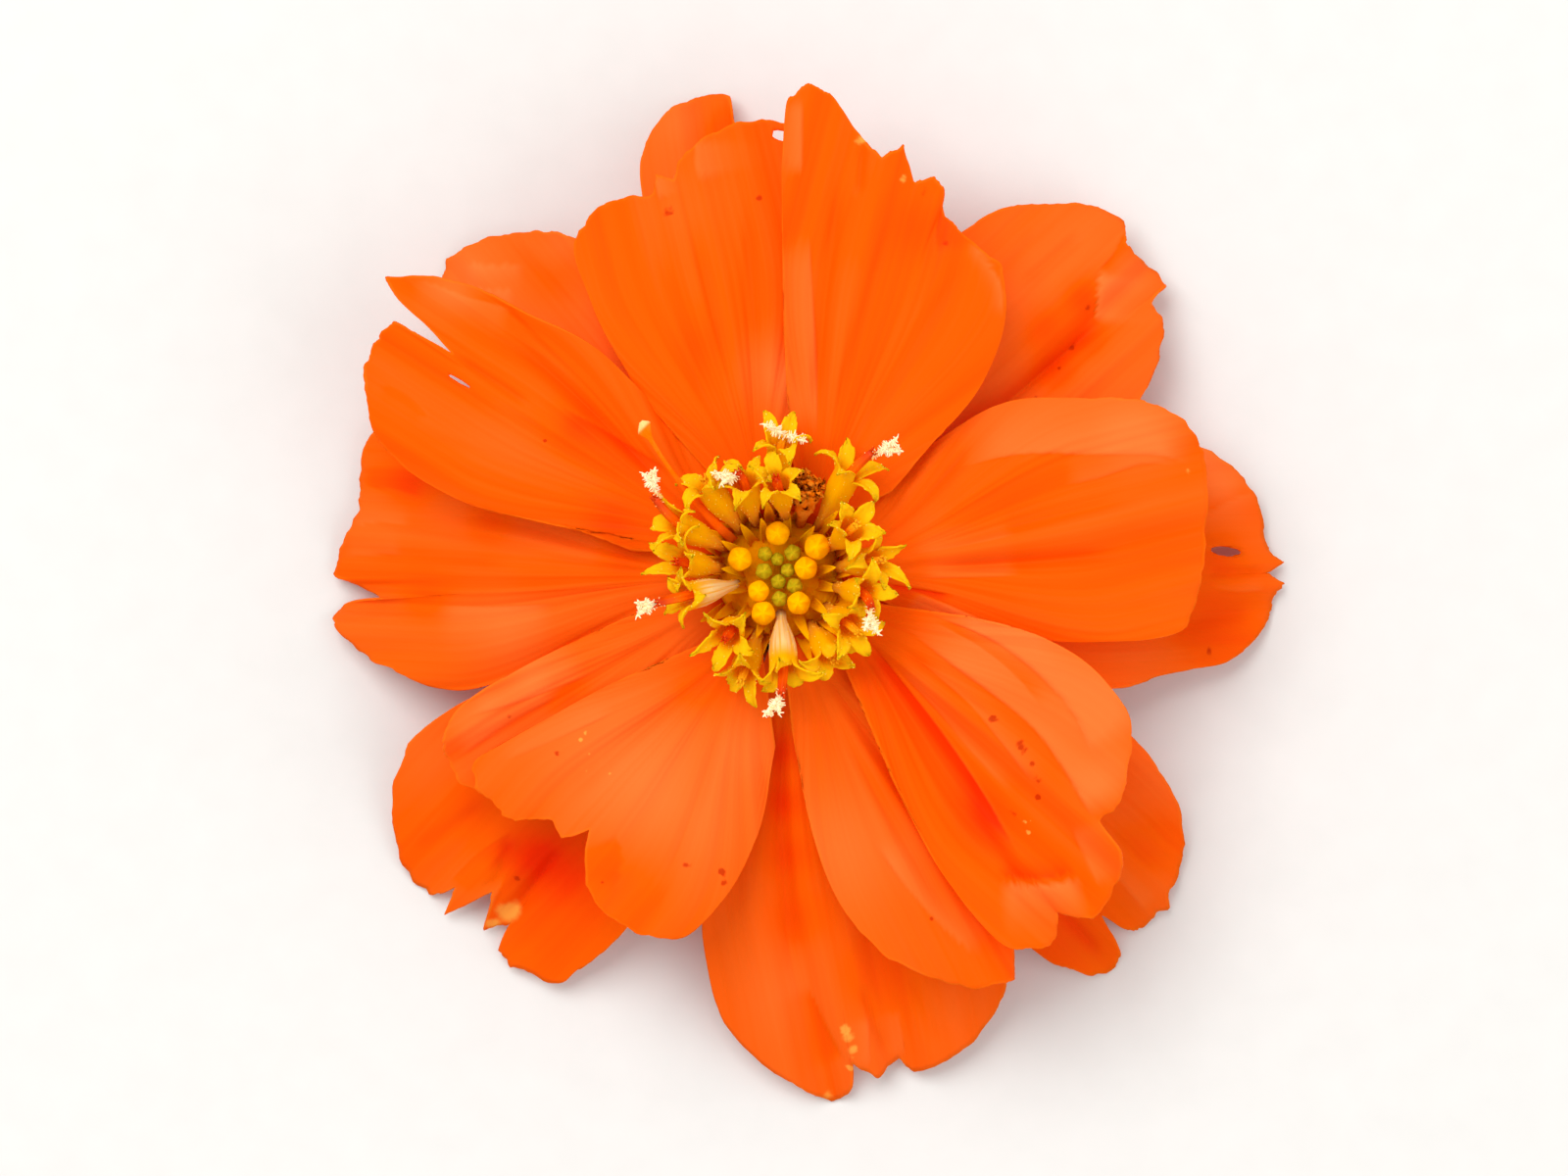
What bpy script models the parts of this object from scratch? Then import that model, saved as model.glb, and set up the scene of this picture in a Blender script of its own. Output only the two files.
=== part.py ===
"""Cosmos flower head, picked with a short stub of stem and lying face up.

Each ray petal, bract, disc floret and bud is a solid of its own. The flower is modelled in
millimetres round its own axis (+Z up, floor at zero) and parented to an empty that brings the
middle of its outline over the origin.
"""
import math
from dataclasses import dataclass

import bmesh
import bpy
from mathutils import Vector

MM = 0.001                     # the tables below are in millimetres and degrees

# Driving sizes
FOOT_RADIUS = 4.3              # where the petals leave the disc
CLAW_WIDTH = 2.4               # width of a petal at its foot
PETAL_THICKNESS = 0.30
PETAL_ROWS = 7
BLADE_LENGTH = 22.0            # typical run from foot to tip
BLADE_HALF_WIDTH = 8.5
OUTER_FOOT_HEIGHT = 8.3
INNER_FOOT_HEIGHT = 9.5

STEM_RADIUS = 1.2
STEM_HEIGHT = 2.2
STEM_RIBS = 8

DISC_HEIGHT = 9.0              # top of the receptacle, where florets stand
DISC_RADIUS = 3.5
DISC_FALL = 0.05               # the dome falls by this times the square of the radius
SEAT_GAP = 0.3                 # clearance under each floret and bud
FLORET_SIDES = 10              # five lobes and five gaps
BUD_SIDES = 10

OUTER_BRACTS = 8
INNER_BRACTS = 8
BRACT_SHELL = 0.35

PETAL_ORANGE = (1.0, 0.13, 0.002, 1.0)
PETAL_LIGHT = (1.0, 0.19, 0.012, 1.0)
FLORET_YELLOW = (1.0, 0.58, 0.01, 1.0)
FADED_RED = (0.35, 0.06, 0.01, 1.0)
BUD_GOLD = (0.95, 0.42, 0.01, 1.0)
BUD_GREEN = (0.42, 0.36, 0.02, 1.0)
BRACT_GREEN = (0.10, 0.22, 0.04, 1.0)
PHYLLARY_TAN = (0.42, 0.24, 0.05, 1.0)
STEM_GREEN = (0.14, 0.27, 0.05, 1.0)
RECEPTACLE_BROWN = (0.40, 0.16, 0.02, 1.0)
CHAFF_CREAM = (0.90, 0.50, 0.18, 1.0)


@dataclass(frozen=True)
class Petal:
    """One ray petal: its outline in bearings and reaches, and how its blade hangs.

    foot is the bearing of its foot on the disc. rim runs counter-clockwise round the
    blade's edge as (bearing, reach from the flower's axis). climb and droop raise the blade
    along its length, tilt raises its counter-clockwise side, cup raises both sides, and
    pleats are (place across from -1 to 1, depth, width) grooves.
    """
    name: str
    foot: float
    rim: tuple
    climb: float
    droop: float
    tilt: float = 0.0
    cup: float = 0.0
    pleats: tuple = ()
    outer: bool = False
    lift: float = 0.0
    color: tuple = PETAL_ORANGE


PETALS = (
    Petal("outer_petal_1", 276, (
        (-103, 15), (-102, 21.3), (-97, 26.1), (-89, 29.3), (-84, 30.8), (-82, 30.2),
        (-81.5, 28.6), (-79, 29.6), (-76, 28.9), (-75, 29.8), (-68, 29.4), (-61, 27.1),
        (-59, 22), (-59.7, 15)),
        climb=1.6, droop=6.4, tilt=0.05, cup=-0.9, outer=True,
        pleats=((-0.35, 0.7, 0.12), (0.2, 0.8, 0.14))),
    Petal("outer_petal_2", 317, (
        (-64, 14), (-61, 20), (-57, 24.5), (-54, 28), (-51, 29.9), (-48, 29.8),
        (-46.5, 27.1), (-45, 29.2), (-42, 29.7), (-38, 29.2), (-33, 28.1), (-28, 25.6),
        (-24, 22), (-22, 16)),
        climb=0.8, droop=6.1, tilt=0.05, cup=-0.6, lift=-0.3, outer=True,
        pleats=((-0.1, 0.6, 0.15), (0.45, 0.7, 0.12))),
    Petal("outer_petal_3", 355, (
        (-21, 14), (-18, 20.9), (-14, 23.4), (-10, 27), (-5, 28.6), (-2, 28.9), (-0.9, 29.5),
        (0.4, 28.5), (1.6, 29.4), (3.5, 28.4), (8, 28.4), (12, 27.6), (16.5, 25.9),
        (19, 21), (18.2, 14)),
        climb=1.0, droop=6.7, tilt=0.04, cup=-0.8, outer=True,
        pleats=((-0.3, 0.7, 0.12), (0.3, 0.6, 0.15))),
    Petal("outer_petal_4", 36, (
        (15, 13), (19, 18), (25.7, 23), (30, 25.4), (33.6, 26.7), (36.4, 27), (37, 28.1),
        (40.3, 28.1), (43.8, 28), (45.3, 28.7), (49.6, 28.2), (54, 26.7), (58, 25.3),
        (62, 22.6), (62.5, 15)),
        climb=0.4, droop=4.8, tilt=0.07, cup=-0.5, lift=-0.3, outer=True,
        pleats=((-0.15, 0.8, 0.12), (0.45, 0.5, 0.15))),
    Petal("outer_petal_5", 88, (
        (78, 14), (80, 21), (86, 25.2), (89, 26.2), (92, 26.6), (95.5, 26.3), (96, 28.2),
        (100, 28.3), (104, 27.6), (108, 25.8), (110, 23), (110, 15)),
        climb=1.0, droop=6.6, tilt=0.03, cup=-0.4, outer=True,
        pleats=((0.1, 0.6, 0.15),)),
    Petal("outer_petal_6", 131, (
        (113, 13), (114, 20), (121, 22.8), (123, 23.9), (127, 25), (132, 26.3), (136, 26.7),
        (138.5, 26.2), (141, 23.5), (142.5, 19), (144.5, 13)),
        climb=1.2, droop=8.4, tilt=-0.03, cup=-0.7, outer=True,
        pleats=((-0.2, 0.6, 0.15), (0.4, 0.5, 0.12))),
    Petal("outer_petal_7", 180, (
        (156, 13), (157, 20), (158, 24.4), (162, 25.3), (166, 25.1), (171, 24.8), (176, 25.6),
        (180, 25.9), (181, 24.6), (183.2, 23.2), (183.8, 25.5), (186, 26.1), (190, 24.8),
        (194, 22.9), (199, 20.2), (201, 14)),
        climb=1.3, droop=9.0, tilt=0.02, cup=-0.6, outer=True,
        pleats=((-0.35, 0.6, 0.12), (0.3, 0.9, 0.10))),
    Petal("outer_petal_8", 228, (
        (203, 14), (202, 20.5), (205, 24), (212, 26.5), (217, 27.6), (222.5, 27.5),
        (223.8, 26.1), (225.3, 27.8), (227.8, 24.9), (230.1, 26.8), (232.2, 25.6),
        (233.3, 27.2), (236, 27.5), (241.5, 26.9), (244, 24.9), (247, 21.5), (247, 14)),
        climb=1.4, droop=8.1, tilt=-0.02, cup=-0.7, outer=True,
        pleats=((-0.3, 0.7, 0.14), (0.25, 0.8, 0.12))),
    Petal("inner_petal_1", 104, (
        (83, 13), (83.5, 18), (84, 23), (89, 25.4), (93, 26.1), (98, 25.8), (103, 24.7),
        (105, 23.6), (107, 24.1), (108.5, 23.1), (112, 23.5), (117, 23.4), (121, 22.7),
        (124, 19), (124, 13)),
        climb=2.0, droop=1.8, tilt=0.00, cup=-0.8,
        pleats=((-0.25, 0.5, 0.15), (0.35, 0.5, 0.13))),
    Petal("inner_petal_2", 59, (
        (44, 11), (46, 16), (50, 20.2), (54, 21.6), (62.4, 22.3), (66, 22.9), (67.1, 24.1),
        (68.7, 24.4), (70.8, 23.8), (73.9, 25.5), (76.2, 24.7), (80, 25.8), (84, 27.6),
        (86.4, 28.2), (88.6, 27.4), (88.8, 24), (87.6, 17), (86, 11)),
        climb=2.6, droop=0.4, tilt=0.06, cup=-0.4, lift=0.3,
        pleats=((-0.2, 0.6, 0.14), (0.4, 0.5, 0.13))),
    Petal("inner_petal_3", 5, (
        (-15, 12), (-12, 18.1), (-7, 23.5), (-3, 24), (1, 24.4), (8, 24.8), (14, 25.3),
        (18, 25.3), (22, 24.6), (26, 23), (30, 20.4), (36, 16.4), (37, 11)),
        climb=1.5, droop=1.9, tilt=-0.02, cup=-0.9,
        pleats=((-0.3, 0.7, 0.12), (0.15, 0.5, 0.15))),
    Petal("inner_petal_4", 328, (
        (-60, 13), (-61, 20), (-57.5, 25.2), (-53.5, 26.2), (-50.3, 25), (-47.7, 26.4),
        (-43, 26.2), (-39, 25.2), (-37.3, 23), (-34, 23.3), (-29, 22.8), (-23, 21.8),
        (-16, 18.4), (-13, 15.3), (-12, 11)),
        climb=2.6, droop=0.8, tilt=0.09, cup=0.8, lift=0.3, color=PETAL_LIGHT,
        pleats=((-0.1, 1.4, 0.15), (-0.55, 0.6, 0.10))),
    Petal("inner_petal_5", 288, (
        (-84, 9), (-82.5, 15), (-79, 19.5), (-75, 22.2), (-69, 24.7), (-65, 26),
        (-59.9, 26.9), (-57.5, 25.2), (-53, 23), (-49, 20), (-50, 12)),
        climb=1.0, droop=1.6, tilt=-0.05, cup=-0.8,
        pleats=((-0.3, 0.5, 0.15), (0.3, 0.6, 0.13))),
    Petal("inner_petal_6", 245, (
        (213.5, 11), (212.2, 16), (211.8, 20.6), (215, 21.1), (218, 20.8), (221, 21),
        (224, 20.1), (227, 19.1), (230.3, 19.5), (233.2, 18.1), (235.4, 19.6), (239, 21),
        (249, 22), (255, 21.4), (260, 18.9), (265, 15), (268.6, 9.7)),
        climb=2.4, droop=1.2, tilt=0.03, cup=-0.9, lift=0.3, color=PETAL_LIGHT,
        pleats=((-0.3, 0.4, 0.15), (0.3, 0.4, 0.15))),
    Petal("inner_petal_7", 205, (
        (196, 9), (199, 14), (201, 18.1), (203, 20.3), (205.5, 21.3), (208, 21.7),
        (212, 21.8), (217, 21), (221, 19), (223, 15), (223, 11)),
        climb=0.6, droop=1.0, tilt=-0.12, cup=0.3, lift=-0.3, color=PETAL_LIGHT,
        pleats=((0.0, 0.5, 0.15),)),
    Petal("inner_petal_8", 148, (
        (129, 11), (130, 17), (134.7, 21.9), (136, 23.7), (139, 26.2), (142.8, 28.4),
        (144, 26.9), (144.5, 25), (145.8, 22.7), (146.2, 25), (146.6, 26.5), (149.5, 26.8),
        (153, 26.6), (156, 25.9), (161, 24.4), (163.5, 22.6), (166.5, 19), (167, 12)),
        climb=1.6, droop=1.6, tilt=-0.03, cup=-0.9,
        pleats=((-0.35, 0.6, 0.13), (0.25, 0.6, 0.14))),
)


@dataclass(frozen=True)
class Floret:
    """One open disc floret leaning out to its mouth.

    bearing and reach place the mouth and foot is the bearing it springs from. height is how
    high it stands over the disc, turn spins its five lobes, star is their spread and column
    the length of the anthers past the mouth.
    """
    name: str
    foot: float
    bearing: float
    reach: float
    height: float
    star: float = 1.5
    column: float = 0.7
    turn: float = 0.0
    color: tuple = FLORET_YELLOW


FLORETS = (
    Floret("disc_floret_1", 9, 9, 5.4, 4.3, turn=10),
    Floret("disc_floret_2", 30, 33, 4.9, 5.3, star=1.3),
    Floret("disc_floret_3", 52, 56, 6.9, 3.6, column=1.9, turn=20),
    Floret("disc_floret_4", 98, 89, 7.4, 4.2, turn=30),
    Floret("disc_floret_5", 84, 91, 5.3, 5.6, star=1.2, column=0.4),
    Floret("disc_floret_6", 114, 110, 5.6, 4.4, column=1.4),
    Floret("disc_floret_7", 130, 128, 6.4, 4.0, turn=15),
    Floret("disc_floret_8", 152, 153, 6.4, 4.6, star=1.4, column=2.0),
    Floret("disc_floret_9", 172, 172, 5.4, 4.2, turn=25),
    Floret("disc_floret_10", 191, 192, 5.2, 5.2, star=1.3, column=2.3),
    Floret("disc_floret_11", 228, 229, 4.4, 4.8, turn=12),
    Floret("disc_floret_12", 250, 250, 5.8, 3.6, star=1.3, turn=30),
    Floret("disc_floret_13", 273, 273, 4.6, 4.7, star=1.7, column=2.0, turn=18),
    Floret("disc_floret_14", 303, 303, 5.2, 3.8, star=1.4, turn=5),
    Floret("disc_floret_15", 327, 325, 4.9, 4.9, star=1.3, column=1.0, turn=20),
    Floret("disc_floret_16", 349, 349, 4.9, 5.6, star=1.2, column=1.2),
    Floret("faded_floret", 68, 73, 5.2, 3.4, star=0.9, column=0.3, color=FADED_RED),
)

# Unopened buds as (bearing, distance from the axis, width, height over the disc, ripe)
BUDS = (
    (92, 2.45, 1.35, 3.0, True), (156, 2.45, 1.35, 3.0, True), (216, 1.45, 1.20, 2.6, True),
    (247, 2.30, 1.35, 2.9, True), (306, 1.90, 1.30, 2.8, True), (17, 1.60, 1.30, 2.7, True),
    (38, 2.75, 1.45, 3.4, True), (122, 1.52, 0.84, 2.2, False), (162, 0.92, 0.95, 2.0, False),
    (60, 1.55, 0.95, 2.2, False), (96, 0.98, 0.76, 1.9, False), (35, 0.60, 0.80, 1.8, False),
    (262, 0.32, 0.85, 1.8, False), (328, 1.05, 0.90, 2.0, False),
    (271, 1.30, 0.90, 2.1, False),
)


def collection(name):
    """Return a collection linked to the scene, made if it is missing."""
    found = bpy.data.collections.get(name)
    if found is None:
        found = bpy.data.collections.new(name)
        bpy.context.scene.collection.children.link(found)
    return found


def material(name, color, roughness=0.55):
    """Return a plain Principled material of one colour, made if it is missing."""
    made = bpy.data.materials.get(name)
    if made is None:
        made = bpy.data.materials.new(name)
        made.use_nodes = True
        shader = made.node_tree.nodes["Principled BSDF"]
        shader.inputs["Base Color"].default_value = color
        shader.inputs["Roughness"].default_value = roughness
        shader.inputs["Metallic"].default_value = 0.0
        made.diffuse_color = color
    return made


def add_object(name, built, finish, parent):
    """Turn a bmesh in millimetres into a smooth object of the flower."""
    bmesh.ops.scale(built, vec=(MM, MM, MM), verts=built.verts)
    mesh = bpy.data.meshes.new(name)
    built.to_mesh(mesh)
    built.free()
    mesh.shade_smooth()
    mesh.materials.append(finish)
    made = bpy.data.objects.new(name, mesh)
    made.parent = parent
    collection("cosmos_flower").objects.link(made)
    return made


def polar(bearing, reach, height=0.0):
    """Return the point at a bearing in degrees and a reach from the axis."""
    angle = math.radians(bearing)
    return Vector((reach * math.cos(angle), reach * math.sin(angle), height))


def ease(value):
    """Smooth step from 0 to 1."""
    value = min(1.0, max(0.0, value))
    return value * value * (3.0 - 2.0 * value)


def disc_top(radius):
    """Return the height of the receptacle's dome at a radius."""
    return DISC_HEIGHT - DISC_FALL * radius * radius


def blade_axis(petal):
    """Return the foot point and the unit vector along a petal's blade."""
    foot = polar(petal.foot, FOOT_RADIUS)
    middle = sum((polar(b, r) for b, r in petal.rim), Vector()) / len(petal.rim)
    return foot, (middle - foot).normalized()


def blade_height(petal, point):
    """Return the height of a petal's mid-surface over a point in plan."""
    foot, along = blade_axis(petal)
    offset = point - foot
    run = max(0.0, offset.dot(along)) / BLADE_LENGTH
    across = offset.dot(Vector((-along.y, along.x, 0.0)))
    half_width = 1.2 + (BLADE_HALF_WIDTH - 1.2) * ease(run * 1.5)
    free = ease(run * 2.2)
    side = across / half_width
    height = OUTER_FOOT_HEIGHT if petal.outer else INNER_FOOT_HEIGHT
    height += petal.lift + petal.climb * run - petal.droop * run * run
    height += free * (petal.tilt * across + petal.cup * side * side)
    for place, depth, width in petal.pleats:
        height -= free * depth * math.exp(-((side - place) / width) ** 2)
    return height


def blade_point(petal, column, run):
    """Return the point of a petal on one rim column, a part of the way along it."""
    last = len(petal.rim) - 1
    side = 2.0 * column / last - 1.0
    foot, along = blade_axis(petal)
    sideways = Vector((-along.y, along.x, 0.0))
    start = foot + sideways * (side * CLAW_WIDTH / 2)
    end = polar(*petal.rim[column])
    point = start.lerp(end, run)
    point.z = blade_height(petal, point)
    return point


def build_petal(petal, parent):
    """Make one petal: a fan of columns from the claw to the rim, thickened evenly."""
    built = bmesh.new()
    columns = len(petal.rim)
    grid = []
    for row in range(PETAL_ROWS):
        run = (row / (PETAL_ROWS - 1)) ** 0.85
        grid.append([built.verts.new(blade_point(petal, c, run)) for c in range(columns)])
    for below, above in zip(grid, grid[1:]):
        for c in range(columns - 1):
            built.faces.new((below[c], above[c], above[c + 1], below[c + 1]))
    made = add_object(petal.name, built, material("petal_" + petal.name, petal.color), parent)
    shell = made.modifiers.new("thickness", 'SOLIDIFY')
    shell.thickness = PETAL_THICKNESS * MM
    shell.offset = 0.0
    return made


def tube_frames(start, bend, end, steps):
    """Walk a quadratic bend and return (centre, sideways, upwards) at each step."""
    frames = []
    for step in steps:
        centre = start * (1 - step) ** 2 + bend * 2 * step * (1 - step) + end * step ** 2
        heading = ((bend - start) * (1 - step) + (end - bend) * step).normalized()
        around = Vector((-bend.y, bend.x, 0.0)).normalized()
        frames.append((centre, around, around.cross(heading).normalized()))
    return frames


def loft(built, rings):
    """Join rings of equal length bottom to top, and close both ends on a point."""
    made = [[built.verts.new(p) for p in ring] for ring in rings]
    count = len(made[0])
    for lower, upper in zip(made, made[1:]):
        for i in range(count):
            j = (i + 1) % count
            built.faces.new((lower[i], lower[j], upper[j], upper[i]))
    for ring, flip in ((made[0], True), (made[-1], False)):
        pole = built.verts.new(sum((v.co for v in ring), Vector()) / count)
        for i in range(count):
            j = (i + 1) % count
            built.faces.new((ring[j], ring[i], pole) if flip else (ring[i], ring[j], pole))


def build_floret(floret, parent):
    """Make an open floret: tube, five spread lobes, and the anther column in its throat."""
    base = 2.4 + 0.17 * floret.reach
    start = polar(floret.foot, base, disc_top(base) + SEAT_GAP)
    end = polar(floret.bearing, floret.reach, DISC_HEIGHT + floret.height)
    bend = Vector((start.x, start.y, 0.0)) * 1.12
    bend.z = DISC_HEIGHT + 0.62 * floret.height
    heading = (end - bend).normalized()
    # (place along the bend, distance past its end, radius at a lobe, radius at a gap)
    profile = (
        (0.0, 0.0, 0.26, 0.26), (0.4, 0.0, 0.34, 0.34), (0.6, 0.0, 0.52, 0.52),
        (1.0, -0.3, 0.66, 0.62), (1.0, 0.15, floret.star, 0.80),
        (1.0, 0.35, floret.star * 0.9, 0.74), (1.0, 0.0, 0.44, 0.44),
        (1.0, 0.1, 0.26, 0.26), (1.0, floret.column, 0.24, 0.24),
        (1.0, floret.column + 0.25, 0.12, 0.12))
    frames = tube_frames(start, bend, end, [p[0] for p in profile])
    rings = []
    for (centre, around, up), (_, past, at_lobe, at_gap) in zip(frames, profile):
        ring = []
        for i in range(FLORET_SIDES):
            angle = math.radians(floret.turn) + math.tau * i / FLORET_SIDES
            radius = at_lobe if i % 2 == 0 else at_gap
            offset = around * math.cos(angle) - up * math.sin(angle)
            ring.append(centre + heading * past + offset * radius)
        rings.append(ring)
    built = bmesh.new()
    loft(built, rings)
    bmesh.ops.recalc_face_normals(built, faces=built.faces)
    finish = material("corolla_" + floret.name, floret.color, 0.5)
    return add_object(floret.name, built, finish, parent)


def build_bud(number, bud, parent):
    """Make an unopened floret: a neck under a five-ribbed head with a blunt point."""
    bearing, reach, width, height, ripe = bud
    foot = polar(bearing, reach, disc_top(reach) + SEAT_GAP)
    half = width / 2
    profile = ((0.0, 0.42), (0.45, 0.5), (0.62, 0.93), (0.78, 1.0), (0.92, 0.68), (0.98, 0.22))
    rings = []
    for level, share in profile:
        ring = []
        for i in range(BUD_SIDES):
            angle = math.tau * i / BUD_SIDES + math.radians(bearing)
            rib = 1.0 if i % 2 == 0 else 0.93
            offset = Vector((math.cos(angle), math.sin(angle), 0.0)) * half * share * rib
            ring.append(foot + offset + Vector((0.0, 0.0, height * level)))
        rings.append(ring)
    built = bmesh.new()
    loft(built, rings)
    finish = material("bud_gold" if ripe else "bud_green", BUD_GOLD if ripe else BUD_GREEN, 0.45)
    return add_object("disc_bud_%d" % number, built, finish, parent)


def turned(name, profile, finish, parent, steps=24):
    """Make a turned solid from a (radius, height) profile that runs from top to bottom."""
    built = bmesh.new()
    points = [built.verts.new((r, 0.0, z)) for r, z in profile]
    for upper, lower in zip(points, points[1:]):
        built.edges.new((upper, lower))
    made = add_object(name, built, finish, parent)
    screw = made.modifiers.new("turn", 'SCREW')
    screw.steps = screw.render_steps = steps
    screw.use_merge_vertices = True
    screw.merge_threshold = 0.00001
    return made


def build_receptacle(parent):
    """Make the domed seat that the petals and florets grow from."""
    dome = tuple((r, disc_top(r)) for r in (0.0, 1.5, 2.7, DISC_RADIUS))
    profile = dome + ((3.85, 7.9), (3.85, 5.6), (3.45, 4.3), (2.6, 3.1), (1.2, 2.55), (0.0, 2.55))
    return turned("receptacle", profile, material("receptacle", RECEPTACLE_BROWN, 0.8), parent)


def build_stem(parent):
    """Make the nipped stub of stem, shallowly ribbed, flat where it was cut."""
    levels = ((0.0, 1.0), (0.35 * STEM_HEIGHT, 0.95), (STEM_HEIGHT, 1.02))
    rings = []
    for height, share in levels:
        ring = []
        for i in range(2 * STEM_RIBS):
            radius = STEM_RADIUS * share * (1.0 if i % 2 == 0 else 0.93)
            ring.append(polar(180.0 * i / STEM_RIBS, radius, height))
        rings.append(ring)
    built = bmesh.new()
    loft(built, rings)
    return add_object("stem", built, material("stem", STEM_GREEN, 0.6), parent)


def build_inner_bracts(parent):
    """Make the cup of inner bracts, joined below and free above, leaning out at their tips."""
    wall = ((2.2, 2.42), (3.2, 2.95), (4.05, 4.2), (4.4, 5.6))
    blade = ((4.45, 6.5, 0.94), (4.65, 7.15, 0.6), (5.1, 7.55, 0.16))
    across = 4
    built = bmesh.new()
    share = 360.0 / INNER_BRACTS
    around = INNER_BRACTS * across
    rings = [[built.verts.new(polar(360.0 * i / around, r, z)) for i in range(around)]
             for r, z in wall]
    for lower, upper in zip(rings, rings[1:]):
        for i in range(around):
            j = (i + 1) % around
            built.faces.new((lower[i], lower[j], upper[j], upper[i]))
    for bract in range(INNER_BRACTS):
        middle = share * (bract + 0.5)
        lower = [rings[-1][(bract * across + k) % around] for k in range(across + 1)]
        for r, z, width in blade:
            upper = [built.verts.new(polar(middle + (k / across - 0.5) * share * width, r, z))
                     for k in range(across + 1)]
            for k in range(across):
                built.faces.new((lower[k], lower[k + 1], upper[k + 1], upper[k]))
            lower = upper
    made = add_object("inner_bract_cup", built, material("inner_bracts", PHYLLARY_TAN), parent)
    shell = made.modifiers.new("thickness", 'SOLIDIFY')
    shell.thickness = BRACT_SHELL * MM
    shell.offset = 0.0
    return made


def build_outer_bract(number, parent):
    """Make one narrow green bract that springs from the stem's top and spreads."""
    bearing = 360.0 * (number - 0.5) / OUTER_BRACTS
    reach_end = 8.2 + 0.7 * math.sin(2.4 * number)
    # (share of the reach, height, half width, half thickness)
    path = ((0.0, 2.0, 0.40, 0.16), (0.3, 2.15, 0.55, 0.18), (0.6, 2.9, 0.55, 0.16),
            (0.85, 3.5, 0.36, 0.13), (1.0, 3.6, 0.10, 0.08))
    rings = []
    for share, height, half, thick in path:
        reach = 1.65 + (reach_end - 1.65) * share
        centre = polar(bearing, reach, height)
        side = polar(bearing + 90.0, 1.0)
        up = Vector((0.0, 0.0, 1.0))
        rings.append([centre - side * half, centre - up * thick,
                      centre + side * half, centre + up * thick])
    built = bmesh.new()
    loft(built, rings)
    bmesh.ops.recalc_face_normals(built, faces=built.faces)
    finish = material("outer_bracts", BRACT_GREEN, 0.6)
    return add_object("outer_bract_%d" % number, built, finish, parent)


def build_chaff_scale(parent):
    """Make the papery scale that stands between the florets, its tip blown out."""
    path = ((3.3, 9.2, 0.30), (4.4, 11.2, 0.34), (7.0, 12.6, 0.24), (9.6, 12.9, 0.20),
            (10.6, 12.8, 0.45), (11.4, 12.5, 0.25))
    rings = []
    for reach, height, half in path:
        centre = polar(142.0 - 1.2 * (reach - 3.3), reach, height)
        side = polar(225.0, 1.0)
        up = Vector((0.0, 0.0, 0.11))
        rings.append([centre - side * half, centre - up, centre + side * half, centre + up])
    built = bmesh.new()
    loft(built, rings)
    bmesh.ops.recalc_face_normals(built, faces=built.faces)
    return add_object("chaff_scale", built, material("chaff", CHAFF_CREAM, 0.6), parent)


def centre_on_origin(axis):
    """Move the flower's empty so that the middle of its outline stands over the origin."""
    bpy.context.view_layer.update()
    graph = bpy.context.evaluated_depsgraph_get()
    corners = []
    for made in collection("cosmos_flower").objects:
        if made.type == 'MESH':
            shape = made.evaluated_get(graph)
            corners += [shape.matrix_world @ v.co for v in shape.data.vertices]
    for side in range(2):
        places = [corner[side] for corner in corners]
        axis.location[side] = -(min(places) + max(places)) / 2


def main():
    """Build the flower."""
    for old in list(bpy.data.objects):
        bpy.data.objects.remove(old)
    axis = bpy.data.objects.new("flower_axis", None)
    collection("cosmos_flower").objects.link(axis)
    build_stem(axis)
    build_receptacle(axis)
    build_inner_bracts(axis)
    for number in range(1, OUTER_BRACTS + 1):
        build_outer_bract(number, axis)
    for petal in PETALS:
        build_petal(petal, axis)
    for floret in FLORETS:
        build_floret(floret, axis)
    for number, bud in enumerate(BUDS, 1):
        build_bud(number, bud, axis)
    build_chaff_scale(axis)
    centre_on_origin(axis)


main()
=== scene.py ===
"""Looks of a cosmos flower head, picked with a short stub of stem and lying face up.

Every petal, bract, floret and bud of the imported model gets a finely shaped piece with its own
finish. Sizes are in millimetres round the flower's own axis, with the floor at zero, and
to_frame turns them into metres in the shared frame. Places in plan are a bearing in degrees,
counter-clockwise from the x axis, and a reach from the axis.
"""
from __future__ import annotations

import logging
import math
import sys
from collections.abc import Sequence
from dataclasses import dataclass, field
from enum import Enum

import bpy
import numpy as np
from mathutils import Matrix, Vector


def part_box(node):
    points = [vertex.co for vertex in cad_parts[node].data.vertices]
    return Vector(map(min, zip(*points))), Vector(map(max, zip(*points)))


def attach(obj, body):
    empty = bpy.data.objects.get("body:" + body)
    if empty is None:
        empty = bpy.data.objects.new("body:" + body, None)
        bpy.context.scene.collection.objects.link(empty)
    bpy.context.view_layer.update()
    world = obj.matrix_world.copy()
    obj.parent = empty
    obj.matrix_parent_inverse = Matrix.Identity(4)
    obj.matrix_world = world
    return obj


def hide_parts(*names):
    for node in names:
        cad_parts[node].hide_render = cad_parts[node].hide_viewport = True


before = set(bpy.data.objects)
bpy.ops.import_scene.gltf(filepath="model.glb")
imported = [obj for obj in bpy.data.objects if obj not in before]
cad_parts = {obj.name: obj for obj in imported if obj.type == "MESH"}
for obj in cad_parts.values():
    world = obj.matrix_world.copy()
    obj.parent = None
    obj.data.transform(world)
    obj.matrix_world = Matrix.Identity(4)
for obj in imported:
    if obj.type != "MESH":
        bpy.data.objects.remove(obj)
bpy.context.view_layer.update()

LOG = logging.getLogger("cosmos")
MM = 0.001
AXIS = sum(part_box("receptacle"), Vector()) / 2      # the flower's axis passes through here
BODY = "root"

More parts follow.
